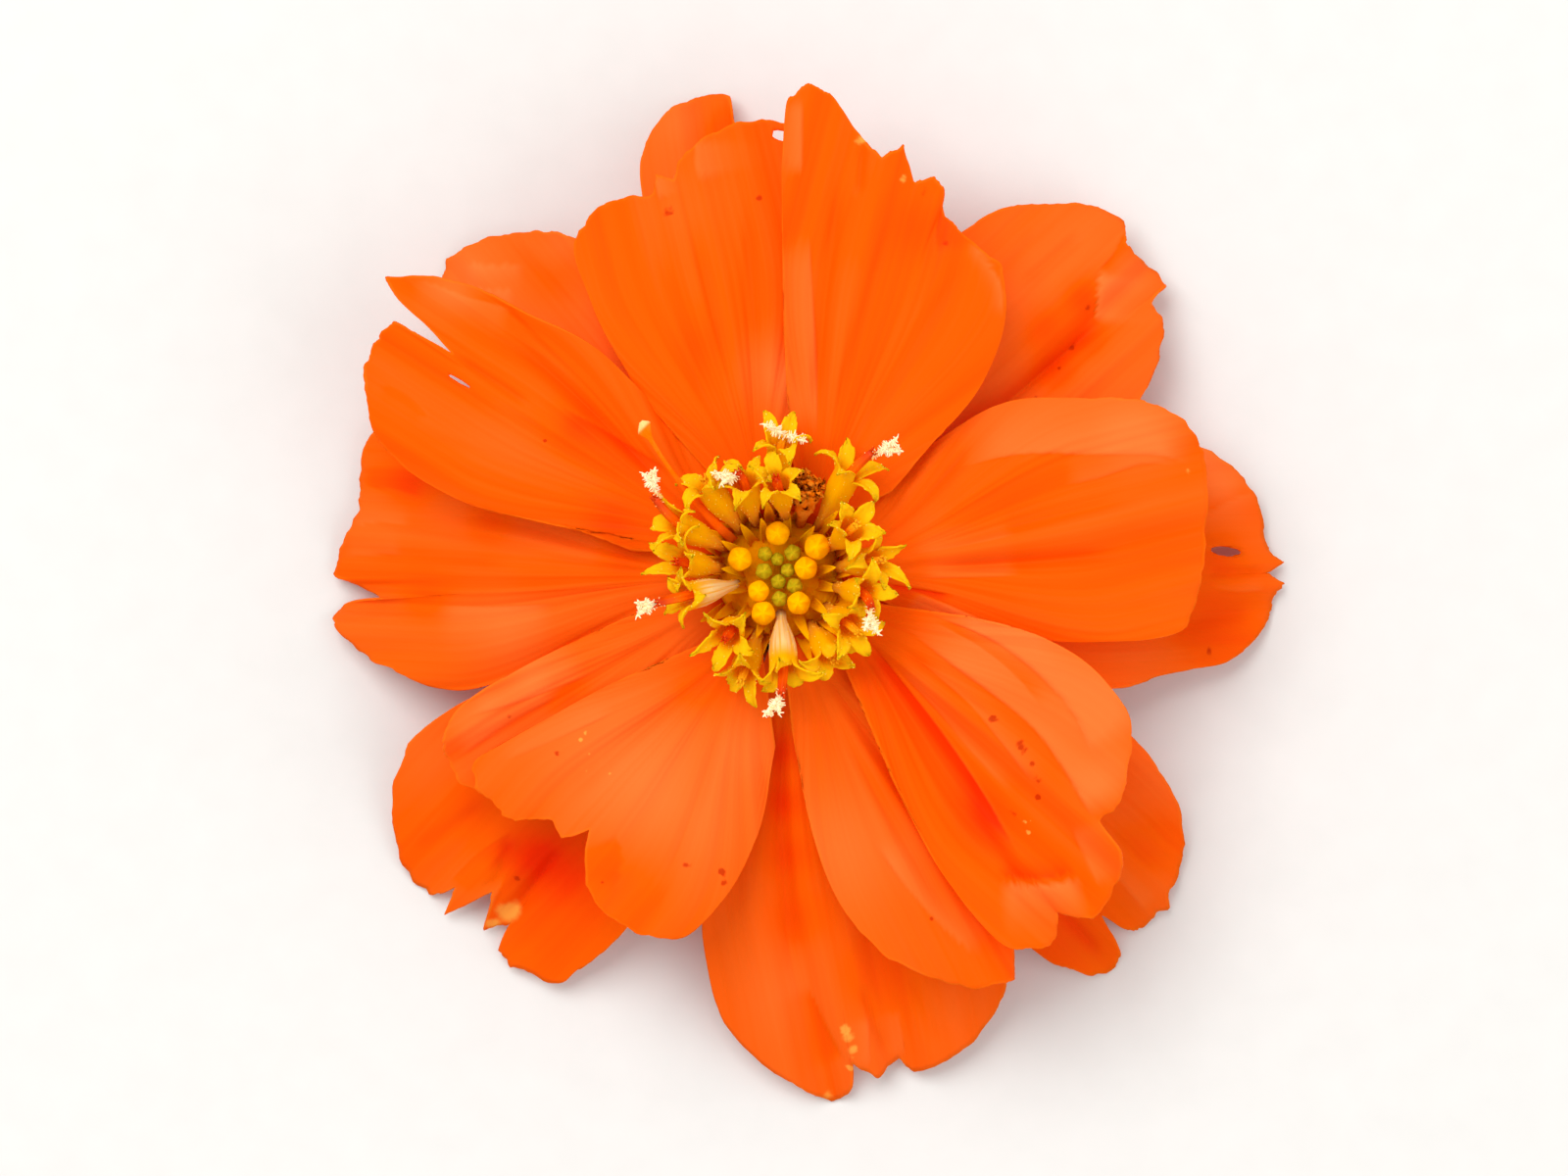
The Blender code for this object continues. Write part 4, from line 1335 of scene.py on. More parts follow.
        blemishes=((219, 14.3, 0.13), (219.4, 14.7, 0.12), (218.6, 14.6, 0.1), (223, 14.9, 0.12),
               (225.3, 15.7, 0.12), (229.5, 14.9, 0.14), (243, 15.4, 0.14), (243.3, 16.1, 0.1),
               (262, 18.4, 0.12)),
        ragged=0.06),
    Petal("inner_petal_7", 205, (
        (196, 9), (199, 14), (201, 18.1), (203, 20.3), (205.5, 21.3), (208, 21.7),
        (212, 21.8), (217, 21), (221, 19), (223, 15), (223, 11)),
        climb=0.6, droop=1.0, tilt=-0.12, cup=0.3, lift=-0.3, slot="petal_light",
        pleats=((0.0, 0.5, 0.15),),
        creases=(Crease((204, 9), (206, 20), 0.2, 0.35),),
        folds=(Fold(((209.5, 21), (208.5, 18), (208.5, 14)), 0.35, 1.4, 0.12),
               Fold(((204.5, 19.5), (206, 16), (207.5, 12)), 0.4, 1.5, 0.1)),
        shade=0.15,
        painted_shading_patches=((201, 15, 1.6, 0.4), (206, 19, 1.6, 0.3), (211.5, 14, 1.3, -0.4)),
        flecks=((207.2, 17.5, 0.24), (213, 19.6, 0.14))),
    Petal("inner_petal_8", 148, (
        (122, 8), (125.5, 11), (129, 17), (134.7, 21.9), (136, 23.7), (139, 26.2), (142.8, 28.4),
        (144, 26.9), (144.5, 25), (145.8, 22.7), (146.2, 25), (146.6, 26.5), (149.5, 26.8),
        (153, 26.6), (156, 25.9), (161, 24.4), (163.5, 22.6), (166.5, 19), (167, 12), (170, 8.5)),
        climb=1.6, droop=1.6, tilt=-0.03, cup=-0.9,
        pleats=((-0.35, 0.6, 0.13), (0.25, 0.6, 0.14)),
        creases=(Crease((140, 8), (138, 22), 0.25, 0.4), Crease((148, 9), (149, 19), 0.2, 0.4),
                 Crease((156, 9), (158, 22), 0.2, 0.4), Crease((145.5, 17), (145.8, 22.7), 0.2, 0.3)),
        folds=(Fold(((135, 8.5), (139, 12), (142, 16)), -0.45, 1.2, -0.1),
               Fold(((134.5, 21.5), (138, 24), (140.5, 27.2)), 0.4, 1.2, 0.1),
               Fold(((155.5, 22), (154, 23.6), (154, 25.4)), -0.25, 0.6, -0.08)),
        painted_shading_patches=((138.5, 25, 1.3, 0.5), (143, 14.5, 1.4, -0.25), (162, 10, 1.6, -0.45),
               (151, 17, 3.0, 0.15)),
        flecks=((150, 15.5, 0.12),),
        holes=(Hole(148.6, 21.5, 0.72, 0.14, 152),)),
)


# ---------------------------------------------------------------- shapes grown by node trees


class Growth(Tree):
    """A geometry node tree with named sizes, closed with its instances made real."""

    def __init__(self, name: str, sizes: dict[str, float], vectors: Sequence[str] = (),
                 on_mesh: bool = False) -> None:
        """Start a tree.

        Args:
            name: the tree's name.
            sizes: its number inputs and their usual values.
            vectors: its vector inputs.
            on_mesh: whether it also keeps the mesh that it grows on.
        """
        super().__init__(bpy.data.node_groups.new(name, "GeometryNodeTree"))
        sockets = self.tree.interface
        sockets.new_socket("Geometry", in_out='INPUT', socket_type='NodeSocketGeometry')
        sockets.new_socket("Geometry", in_out='OUTPUT', socket_type='NodeSocketGeometry')
        sockets.new_socket("Finish", in_out='INPUT', socket_type='NodeSocketMaterial')
        for key, usual in sizes.items():
            made = sockets.new_socket(key, in_out='INPUT', socket_type='NodeSocketFloat')
            made.default_value = usual
        for key in vectors:
            sockets.new_socket(key, in_out='INPUT', socket_type='NodeSocketVector')
        self.entry = self.add("NodeGroupInput")
        self.on_mesh = on_mesh

    def size(self, name: str) -> Value:
        """Return a named number input."""
        return Value(self, self.entry.outputs[name])

    def close(self, geometry: Socket) -> None:
        """End the tree: real instances, the finish, and the mesh it grew on if kept.

        Args:
            geometry: what was grown.
        """
        real = self.add("GeometryNodeRealizeInstances", None, {0: geometry})
        dressed = self.add("GeometryNodeSetMaterial", None, {
            "Geometry": real.outputs[0], "Material": self.entry.outputs["Finish"]}).outputs[0]
        if self.on_mesh:
            both = self.add("GeometryNodeJoinGeometry")
            self.tree.links.new(dressed, both.inputs[0])
            self.tree.links.new(self.entry.outputs["Geometry"], both.inputs[0])
            dressed = both.outputs[0]
        self.add("NodeGroupOutput", None, {0: dressed})

    def grow(self, piece: Piece, finish: Material,
             **settings: float | tuple[float, float, float]) -> Piece:
        """Run the tree on a piece and keep the result as its mesh.

        Args:
            piece: the object that the tree runs on.
            finish: the material of what is grown.
            settings: the tree's inputs, by name with _ for a space.

        Returns:
            The piece.
        """
        modifier = piece.modifiers.new("growth", 'NODES')
        modifier.node_group = self.tree
        given = {"Finish": finish, **{k.replace("_", " "): v for k, v in settings.items()}}
        for item in self.tree.interface.items_tree:
            if item.in_out == 'INPUT' and item.name in given:
                modifier[item.identifier] = given[item.name]
        apply_modifiers(piece)
        return piece


class Scatter(Growth):
    """Small grains or pegs that stand all over a surface."""

    class Grain(Enum):
        """What is scattered: round grains, or pegs that point outwards."""

        ROUND = "round"
        PEG = "peg"

    def __init__(self, grain: Scatter.Grain) -> None:
        """Build the tree for one kind of grain.

        Args:
            grain: the kind.
        """
        super().__init__("scatter_" + grain.value,
                         {"Density": 1e6, "Width": 0.00006, "Length": 0.0001, "Seed": 1.0},
                         on_mesh=True)
        spread = self.add("GeometryNodeDistributePointsOnFaces", {
            "distribute_method": 'RANDOM'}, {
            "Mesh": self.entry.outputs["Geometry"], "Density": self.size("Density"),
            "Seed": self.size("Seed")})
        if grain is Scatter.Grain.PEG:
            body = self.add("GeometryNodeMeshCone", {"fill_type": 'TRIANGLE_FAN'}, {
                "Vertices": 5, "Radius Top": 0.25, "Radius Bottom": 0.5, "Depth": 1.0}).outputs[0]
        else:
            body = self.add("GeometryNodeMeshIcoSphere", None, {
                "Radius": 0.5, "Subdivisions": 1}).outputs[0]
        wide, tall = self.size("Width"), self.size("Length")
        chance = self.add("FunctionNodeRandomValue", {"data_type": 'FLOAT'}, {
            2: 0.6, 3: 1.3, "Seed": 7})
        share = Value(self, chance.outputs[1])
        scale = self.vector(wide * share, wide * share, tall * share)
        turned = self.add("FunctionNodeAlignRotationToVector", {"axis": 'Z'}, {
            "Vector": spread.outputs["Normal"]})
        placed = self.add("GeometryNodeInstanceOnPoints", None, {
            "Points": spread.outputs["Points"], "Instance": body,
            "Rotation": turned.outputs[0], "Scale": scale})
        self.close(placed.outputs[0])

    def dust(self, piece: Piece, size: float, seed: float) -> None:
        """Scatter pollen of a size in metres over a piece."""
        self.grow(piece, Skin.POLLEN.material(), Density=3e6, Width=size, Length=size, Seed=seed)


class BudShape(Growth):
    """A shut floret: a neck under a round head of five lobes that meet in a star."""

    AROUND = 50
    LEVELS = 44

    def __init__(self) -> None:
        """Build the tree: a grid wrapped round the axis on a profile curve."""
        super().__init__("shut_floret", {
            "Width": 0.0013, "Height": 0.003, "Rib": 0.07, "Star": 0.12, "Turn": 0.0,
            "Lean": 0.0}, ("Foot",))
        grid = self.add("GeometryNodeMeshGrid", None, {
            "Size X": 1.0, "Size Y": 1.0, "Vertices X": self.AROUND + 1,
            "Vertices Y": self.LEVELS})
        place = self.add("ShaderNodeSeparateXYZ", None, {
            0: self.add("GeometryNodeInputPosition").outputs[0]})
        turn, level = Value(self, place.outputs[0]) + 0.5, Value(self, place.outputs[1]) + 0.5
        mapped = self.add("GeometryNodeStoreNamedAttribute", {
            "data_type": 'FLOAT2', "domain": 'CORNER'}, {
            "Geometry": grid.outputs["Mesh"], "Name": "surface",
            "Value": self.vector(turn, level)})
        profile = self.add("ShaderNodeFloatCurve")
        curve = profile.mapping.curves[0]
        shape = ((0.0, 0.0), (0.02, 0.36), (0.30, 0.42), (0.50, 0.66), (0.63, 0.94),
                 (0.73, 1.0), (0.83, 0.93), (0.91, 0.74), (0.97, 0.42), (1.0, 0.0))
        for x, y in shape[1:-1]:
            curve.points.new(x, y)
        curve.points[0].location, curve.points[-1].location = shape[0], shape[-1]
        profile.mapping.update()
        self.tree.links.new(level.socket, profile.inputs["Value"])
        angle = turn * math.tau + self.size("Turn")
        five = (turn * (5 * math.tau)).math("COSINE")
        upper = level.step(0.35, 0.8)
        rib = 1.0 + self.size("Rib") * upper * (five - 1.0)
        radius = Value(self, profile.outputs[0]) * rib * self.size("Width") * 0.5
        dip = self.size("Star") * radius * level.step(0.75, 0.90) * (five - 1.0)
        height = level * self.size("Height") + dip
        shape_now = self.vector(radius * angle.math("COSINE") + self.size("Lean") * level * level,
                                radius * angle.math("SINE"), height)
        moved = self.add("GeometryNodeSetPosition", None, {
            "Geometry": mapped.outputs[0], "Position": shape_now,
            "Offset": self.entry.outputs["Foot"]})
        welded = self.add("GeometryNodeMergeByDistance", None, {
            "Geometry": moved.outputs[0], "Distance": 0.000002})
        smooth = self.add("GeometryNodeSetShadeSmooth", None, {"Geometry": welded.outputs[0]})
        self.close(smooth.outputs[0])


# ---------------------------------------------------------------- the disc


def disc_top(radius: float | Array) -> float | Array:
    """Return the height of the receptacle's dome at a radius."""
    return DISC_HEIGHT - DISC_FALL * radius * radius


class Style(Enum):
    """How far a floret's style has come out of its anthers."""

    HIDDEN = 0
    FORKED = 1
    CURLED = 2


@dataclass(frozen=True)
class Floret:
    """One open disc floret that leans out to its mouth.

    bearing and reach place the mouth and foot is the bearing it springs from. height is how
    high it stands over the disc, turn spins its five lobes, star is their spread and column
    the length of the anthers past the mouth. tip is the bearing and reach of its stigma and
    inset how much nearer the axis than usual the tube springs from the disc. red says that
    its anthers are dark red and not gold, striped that its tube is cream with paler ribs.
    """

    node: str
    foot: float
    bearing: float
    reach: float
    height: float
    star: float = 1.6
    column: float = 0.7
    turn: float = 0.0
    style: Style = Style.HIDDEN
    tip: tuple[float, float] = (0.0, 0.0)
    red: bool = False
    striped: bool = False
    inset: float = 0.0
    slot: str = "corolla_yellow"

    LOBES = 5
    CELLS = 8               # columns of faces in each lobe
    ROWS = 10               # rows of faces in each lobe
    NECK = 0.26             # the tube's radius below
    MOUTH = 0.72            # and at its mouth
    MOUTH_LEVEL = 0.62      # the mouth's surface coordinate, from which the lobes run on to 1
    FRAY = 0.028            # how far the lobes' points are shaken
    ANTHER_STEPS = 14
    ANTHER_RADII = {True: 0.31, False: 0.26}

    def route(self) -> tuple[Array, Array, Array]:
        """Lay out the tube's middle line.

        Returns:
            Its start, bend and end.
        """
        base = 2.4 + 0.17 * self.reach - self.inset
        start = polar(self.foot, base, disc_top(base) + SEAT_GAP)
        end = polar(self.bearing, self.reach, DISC_HEIGHT + self.height)
        bend = np.array([start[0] * 1.12, start[1] * 1.12, DISC_HEIGHT + 0.62 * self.height])
        return start, bend, end

    def frames(self, places: Array) -> tuple[Array, Array, Array, Array]:
        """Follow the tube.

        Args:
            places: places along it, from 0 to 1.

        Returns:
            Its centres, headings, sideways and upward directions there.
        """
        start, bend, end = self.route()
        t = places[:, None]
        centres = arc(start, bend, end, places)
        heads = unit((bend - start) * (1 - t) + (end - bend) * t)
        around = unit(np.array([-bend[1], bend[0], 0.0]))
        return centres, heads, np.broadcast_to(around, heads.shape), unit(np.cross(around, heads))

    def corolla(self, random: np.random.Generator) -> Sheet:
        """Build the open tube and its five recurved lobes as one sheet.

        Args:
            random: what shakes the lobes' sizes and bends.

        Returns:
            The sheet.
        """
        sheet = Sheet()
        count = self.LOBES * self.CELLS
        places = np.linspace(0.0, 1.0, 16)
        centres, heads, around, up = self.frames(places)
        spin = math.radians(self.turn) + math.tau * np.arange(count) / count
        width = self.NECK + (self.MOUTH - self.NECK) * ease((places - 0.3) / 0.6) + 0.04 * places
        ribs = 1.0 + 0.05 * np.cos(self.LOBES * (spin - spin[0]))
        offset = (around[:, None] * np.cos(spin)[None, :, None]
                  + up[:, None] * -np.sin(spin)[None, :, None])
        tube = centres[:, None] + offset * (width[:, None] * ribs[None])[..., None]
        surface = pairs(np.arange(count)[None] / count, self.MOUTH_LEVEL * places[:, None])
        numbers = sheet.add_points(tube, surface)
        sheet.quads(numbers, around=True)
        for lobe in range(self.LOBES):
            first = lobe * self.CELLS
            columns = np.arange(first - self.CELLS // 2, first + self.CELLS // 2 + 1) % count
            points = self.lobe(tube[-1, columns], heads[-1], unit(offset[-1, first]), random)
            level = self.MOUTH_LEVEL \
                + (1.0 - self.MOUTH_LEVEL) * np.arange(1, self.ROWS + 1)[:, None] / self.ROWS
            across = lobe + (np.arange(self.CELLS + 1) / self.CELLS - 0.5)[None]
            made = sheet.add_points(points, pairs(across / self.LOBES, level))
            sheet.quads(np.concatenate([numbers[-1][columns][None], made]))
        return sheet

    def lobe(self, mouth: Array, head: Array, out: Array, random: np.random.Generator) -> Array:
        """Shape one lobe, which bends out from the mouth and rolls back.

        Args:
            mouth: the points of the tube's rim that it grows from.
            head: the tube's heading.
            out: the direction in which it opens.
            random: what varies its size and bend.

        Returns:
            Its points, one row for each step out.
        """
        side = unit(np.cross(head, out))
        length = self.star * random.uniform(0.85, 1.45)
        first_angle = math.radians(random.uniform(0.0, 45.0))
        last_angle = math.radians(random.uniform(50.0, 170.0))
        twist = random.uniform(-1.0, 1.0)
        sway = random.uniform(-0.6, 0.6)
        fray = self.FRAY * random.normal(size=(self.ROWS, self.CELLS + 1, 3))
        spine = mouth.mean(axis=0)
        across = (mouth - spine) @ side
        depth = mouth - spine - across[:, None] * side
        grid = []
        for row in range(1, self.ROWS + 1):
            share = row / self.ROWS
            bend = first_angle + (last_angle - first_angle) * share ** 1.3
            go = head * math.cos(bend) + out * math.sin(bend) + side * sway * share
            spine = spine + unit(go) * (length / self.ROWS)
            lift = unit(np.cross(side, go))
            taper = (1.0 - share ** 2.4) * (1.0 + 0.30 * math.sin(math.pi * share))
            lean = side * math.cos(twist * share) + lift * math.sin(twist * share)
            fold = 0.30 * taper * np.abs(across / self.MOUTH) ** 1.5 * (0.4 + share)
            grid.append(spine + lean * across[:, None] * max(taper, 0.03)
                        + depth * (1.0 - share) ** 2 - lift * fold[:, None])
        return np.array(grid) + fray

    def anther_line(self) -> Array:
        """Lay out the anther column, which nods towards the stigma.

        Returns:
            The points of its middle line.
        """
        _, heads, _, _ = self.frames(np.array([1.0]))
        _, _, end = self.route()
        begin, finish = end - heads[0] * 0.8, end + heads[0] * self.column
        if self.style is not Style.HIDDEN:
            finish = 0.35 * finish + 0.65 * (self.stigma_foot() - heads[0] * 0.1)
        middle = end + heads[0] * self.column * 0.25
        return arc(begin, middle, finish, np.linspace(0.0, 1.0, self.ANTHER_STEPS))

    def stigma_foot(self) -> Array:
        """Find the point where the style forks.

        Returns:
            The point.
        """
        _, heads, _, _ = self.frames(np.array([1.0]))
        _, _, end = self.route()
        foot = polar(*self.tip)
        flat = np.linalg.norm(foot[:2] - end[:2])
        slope = heads[0][2] / max(np.hypot(*heads[0][:2]), 0.5)
        foot[2] = end[2] + 0.25 + max(0.15, slope) * flat * 0.5
        return foot

    def anthers(self) -> Sheet:
        """Build the five joined anthers as a ribbed tube with toothed tips.

        Returns:
            The closed sheet.
        """
        sheet = Sheet()
        line = self.anther_line()
        share = np.linspace(0.0, 1.0, len(line))
        radii = self.ANTHER_RADII[self.red] * (1.0 - 0.25 * share ** 4)
        sheet.tube(line, radii, 20, (0.0, 1.0), self.LOBES, 0.32)
        head = unit(line[-1] - line[-2])
        side = unit(np.cross(head, [0.3, 0.2, 0.9]))
        up = np.cross(head, side)
        for i in range(self.LOBES):
            angle = math.tau * i / self.LOBES
            out = side * math.cos(angle) + up * math.sin(angle)
            tooth = np.array([line[-1] + out * aside + head * ahead
                              for aside, ahead in ((0.15, -0.05), (0.20, 0.12), (0.23, 0.26))])
            sheet.tube(tooth, np.array([0.08, 0.06, 0.015]), 6, (0.9, 1.0))
        return sheet

    def styles(self, random: np.random.Generator) -> Sheet:
        """Build the style and its branches, which part and roll back.

        Args:
            random: what varies the branches.

        Returns:
            The closed sheet.
        """
        sheet = Sheet()
        foot = self.stigma_foot()
        line = self.anther_line()
        head = unit(foot - line[-3])
        start = line[-3]
        t = np.linspace(0.0, 1.0, 8)[:, None]
        sheet.tube(start + (foot - start) * t, np.full(8, 0.085), 10, (0.0, 0.3))
        side = unit(np.cross(head, [0.0, 0.0, 1.0]) + 0.12 * random.normal(size=3))
        spreads = {Style.FORKED: (9.0, 30.0, 1.35), Style.CURLED: (70.0, 95.0, 1.3)}
        low, high, length = spreads[self.style]
        for way in (-1.0, 1.0):
            steps, point = 14, foot.copy()
            path = [point]
            reach = length * random.uniform(0.85, 1.15)
            for step in range(1, steps + 1):
                bend = math.radians(low + (high - low) * (step / steps) ** 1.2)
                point = point + (head * math.cos(bend) + way * side * math.sin(bend)
                                 + [0.0, 0.0, 0.12]) * reach / steps
                path.append(point)
            share = np.linspace(0.0, 1.0, steps + 1)
            radii = 0.08 + 0.09 * np.sin(math.pi * np.minimum(share * 1.15, 1.0)) ** 0.8
            radii = np.where(share > 0.85, radii * (1.15 - share) / 0.3, radii)
            sheet.tube(np.array(path), np.maximum(radii, 0.02), 12, (0.3, 1.0))
        return sheet


@dataclass(frozen=True)
class Bud:
    """One shut floret as bearing, reach, width, height over the disc, and whether it is ripe."""

    bearing: float
    reach: float
    width: float
    height: float
    ripe: bool


FLORETS = (
    Floret("disc_floret_1", 9, 9, 5.4, 4.3, turn=10),
    Floret("disc_floret_2", 30, 33, 4.9, 5.3, star=1.3),
    Floret("disc_floret_3", 52, 56, 6.9, 3.6, column=1.9, turn=20, style=Style.FORKED,
           tip=(51, 9.1), red=True),
    Floret("disc_floret_4", 98, 89, 7.4, 4.2, turn=30, style=Style.CURLED, tip=(88, 8.0)),
    Floret("disc_floret_5", 84, 91, 5.3, 5.6, star=1.2, column=0.4, red=True),
    Floret("disc_floret_6", 114, 110, 5.6, 4.4, column=1.4, style=Style.FORKED,
           tip=(113, 6.2), red=True),
    Floret("disc_floret_7", 130, 128, 6.4, 4.0, turn=15),
    Floret("disc_floret_8", 152, 153, 6.4, 4.6, star=1.4, column=2.0, style=Style.FORKED,
           tip=(145, 8.6), red=True),
    Floret("disc_floret_9", 172, 172, 5.4, 4.2, turn=25, red=True),
    Floret("disc_floret_10", 191, 192, 5.3, 5.0, star=1.3, column=2.3, style=Style.FORKED,
           tip=(192.5, 7.2), red=True, striped=True, inset=0.8),
    Floret("disc_floret_11", 228, 229, 4.4, 4.8, turn=12, red=True),
    Floret("disc_floret_12", 250, 250, 5.8, 3.6, star=1.3, turn=30),
    Floret("disc_floret_13", 273, 273, 5.0, 4.5, star=1.7, column=2.0, turn=18,
           style=Style.FORKED, tip=(270, 6.8), red=True, striped=True, inset=1.1),
    Floret("disc_floret_14", 303, 303, 5.2, 3.8, star=1.4, turn=5),
    Floret("disc_floret_15", 327, 325, 4.9, 4.9, star=1.5, column=1.0, turn=20),
    Floret("disc_floret_16", 349, 349, 4.9, 5.6, star=1.2, column=1.2, style=Style.FORKED,
           tip=(337, 5.6), red=True),
)
FADED = Floret("faded_floret", 68, 73, 5.2, 3.4, star=0.6, column=0.3, slot="corolla_faded")

BUDS = (
    Bud(92, 2.45, 1.35, 3.0, True), Bud(156, 2.45, 1.35, 3.0, True),
    Bud(216, 1.45, 1.20, 2.6, True), Bud(247, 2.30, 1.35, 2.9, True),
    Bud(306, 1.90, 1.30, 2.8, True), Bud(17, 1.60, 1.30, 2.7, True),
    Bud(38, 2.75, 1.45, 3.4, True), Bud(122, 1.52, 0.84, 2.2, False),
    Bud(162, 0.92, 0.95, 2.0, False), Bud(60, 1.55, 0.95, 2.2, False),
    Bud(96, 0.98, 0.76, 1.9, False), Bud(35, 0.60, 0.80, 1.8, False),
    Bud(262, 0.32, 0.85, 1.8, False), Bud(328, 1.05, 0.90, 2.0, False),
    Bud(271, 1.30, 0.90, 2.1, False),
)


@dataclass
class Disc:
    """The middle of the flower: its open florets, its shut ones, and its papery scales.

    scale_rings are the rings that the scales between the florets stand in, each as the
    ranges of its scales' reach and height. scale_path is the long scale's middle line as
    (reach, height, half width).
    """

    florets: tuple[Floret, ...] = FLORETS
    faded: Floret = FADED
    buds: tuple[Bud, ...] = BUDS
    corolla_wall: float = 0.09
    scales: int = 45
    scale_rings: tuple[tuple[tuple[float, float], tuple[float, float]], ...] = (
        ((3.0, 3.7), (3.0, 4.2)), ((1.9, 2.6), (2.0, 2.8)), ((3.5, 3.8), (2.2, 3.2)))
    scale_path: tuple[tuple[float, float, float], ...] = (
        (3.3, 9.2, 0.28), (4.4, 11.2, 0.25), (7.0, 12.6, 0.17), (10.0, 12.9, 0.11),
        (10.8, 12.85, 0.16), (11.4, 12.7, 0.47), (11.8, 12.5, 0.10))

    def build_florets(self) -> list[Piece]:
        """Build every open floret with its anthers and its style.

        Returns:
            The pieces.
        """
        pegs, grains = Scatter(Scatter.Grain.PEG), Scatter(Scatter.Grain.ROUND)
        plain = CorollaFinish().material("corolla_skin")
        striped = CorollaFinish(striped=0.9, tube=(0.94, 0.50, 0.05), foot=(0.85, 0.42, 0.06),
                                yellow=(0.50, 0.62),
                                stripe=(1.0, 0.86, 0.38)).material("striped_corolla_skin")
        made = []
        for floret in self.florets:
            random = np.random.default_rng(round(floret.bearing) + 1)
            corolla = floret.corolla(random).build(
                floret.node + "_corolla", striped if floret.striped else plain)
            thicken(corolla, self.corolla_wall)
            grains.dust(corolla, 0.00008, float(round(floret.reach * 10)))
            hand_over(corolla, floret.slot, floret.node)
            skin = Skin.ANTHER if floret.red else Skin.ANTHER_GOLD
            anthers = floret.anthers().build(floret.node + "_anthers", skin.material())
            grains.dust(anthers, 0.00005, float(round(floret.bearing)))
            hand_over(anthers, floret.slot)
            made += [corolla, anthers]
            if floret.style is not Style.HIDDEN:
                style = floret.styles(random).build(floret.node + "_style", Skin.STYLE.material())
                pegs.grow(style, Skin.STYLE.material(), Density=5e7, Width=0.00010,
                          Length=0.00021, Seed=2.0)
                hand_over(style, floret.slot)
                made.append(style)
        return made

    def build_faded(self) -> Piece:
        """Build the withered floret: its corolla shrunken and tangled.

        Returns:
            The piece.
        """
        random = np.random.default_rng(73)
        sheet = self.faded.corolla(random)
        _, heads, _, _ = self.faded.frames(np.array([1.0]))
        _, _, end = self.faded.route()
        for _ in range(14):
            start = end + 0.30 * random.normal(size=3) * [1, 1, 0.4]
            middle = start + 0.7 * random.normal(size=3) * [1, 1, 0.5]
            finish = start + 0.5 * random.normal(size=3) * [1, 1, 0.5]
            sheet.tube(arc(start, middle, finish, np.linspace(0.0, 1.0, 10)),
                       np.full(10, random.uniform(0.04, 0.09)), 7, (0.0, 1.0))
        shaken = np.concatenate(sheet.points)
        high = ease((shaken[:, 2] - (end[2] - 1.2)) / 1.0)[:, None]
        shaken = shaken + high * 0.10 * random.normal(size=shaken.shape)
        sheet.points, sheet.surface = [shaken], [np.concatenate(sheet.surface)]
        piece = sheet.build("faded_floret_remains", Skin.FADED.material())
        thicken(piece, 0.07)
        hand_over(piece, self.faded.slot, self.faded.node)
        return piece

    def build_buds(self) -> list[Piece]:
        """Build every shut floret from one node tree.

        Returns:
            The pieces.
        """
        shape = BudShape()
        made = []
        for number, bud in enumerate(self.buds, 1):
            foot = to_frame(polar(bud.bearing, bud.reach, disc_top(bud.reach) + SEAT_GAP))
            skin = Skin.BUD_GOLD if bud.ripe else Skin.BUD_GREEN
            name = "disc_bud_%d_head" % number
            piece = shape.grow(add_object(name, bpy.data.meshes.new(name)), skin.material(),
                               Foot=tuple(foot), Width=bud.width * 1.04 * MM,
                               Height=bud.height * MM, Turn=math.radians(bud.bearing * 1.7),
                               Rib=0.03 if bud.ripe else 0.05, Star=0.14)
            hand_over(piece, "bud_gold" if bud.ripe else "bud_green", "disc_bud_%d" % number)
            made.append(piece)
        return made

    def build_scales(self) -> Piece:
        """Build the narrow papery scales that stand between the florets.

        Returns:
            The piece.
        """
        random = np.random.default_rng(4)
        sheet = Sheet()
        share = np.linspace(0.0, 1.0, 12)[:, None]
        across = np.linspace(-1.0, 1.0, 7)[None, :]
        for i in range(self.scales):
            bearing = 360.0 * i / self.scales + random.uniform(-4, 4)
            reaches, heights = self.scale_rings[i % len(self.scale_rings)]
            reach, tall = random.uniform(*reaches), random.uniform(*heights)
            half = 0.30 * (1.0 - share ** 3) ** 0.8 + 0.02
            out = reach + 0.5 * share + 1.2 * share ** 2 * random.uniform(0.4, 1.0)
            height = disc_top(reach) - 0.1 + tall * share
            centre = polar(bearing, out + 0 * across, height + 0 * across)
            side = polar(bearing + 90.0, 1.0)
            inward = polar(bearing + 180.0, 1.0)
            points = centre + side * (half * across)[..., None] \
                + inward * (half * across ** 2 * 0.5)[..., None]
            sheet.quads(sheet.add_points(points, pairs(across / 2 + 0.5, share)))
        piece = sheet.build("disc_scales", Skin.SCALE.material())
        thicken(piece, 0.06)
        hand_over(piece, "chaff")
        return piece

    def build_chaff(self) -> Piece:
        """Build the long scale whose papery tip is blown out over a petal.

        Returns:
            The piece.
        """
        line, _ = smooth_line(np.array(self.scale_path), 8)
        share = np.linspace(0.0, 1.0, len(line))
        across = np.linspace(-1.0, 1.0, 11)
        reach = line[:, :1] + 0 * across
        bearing = 142.0 - 1.2 * (reach - self.scale_path[0][0])
        crown = -0.35 * line[:, 2:] * across ** 2
        centre = polar(bearing, reach, line[:, 1:2] + crown)
        side = polar(225.0, 1.0)
        points = centre + side * (line[:, 2:] * across)[..., None]
        sheet = Sheet()
        sheet.quads(sheet.add_points(points, pairs(across[None] / 2 + 0.5, share[:, None])))
        piece = sheet.build("chaff_scale_paper", Skin.CHAFF.material())
        thicken(piece, 0.08)
        hand_over(piece, "chaff", "chaff_scale")
        return piece


# ---------------------------------------------------------------- what holds the flower


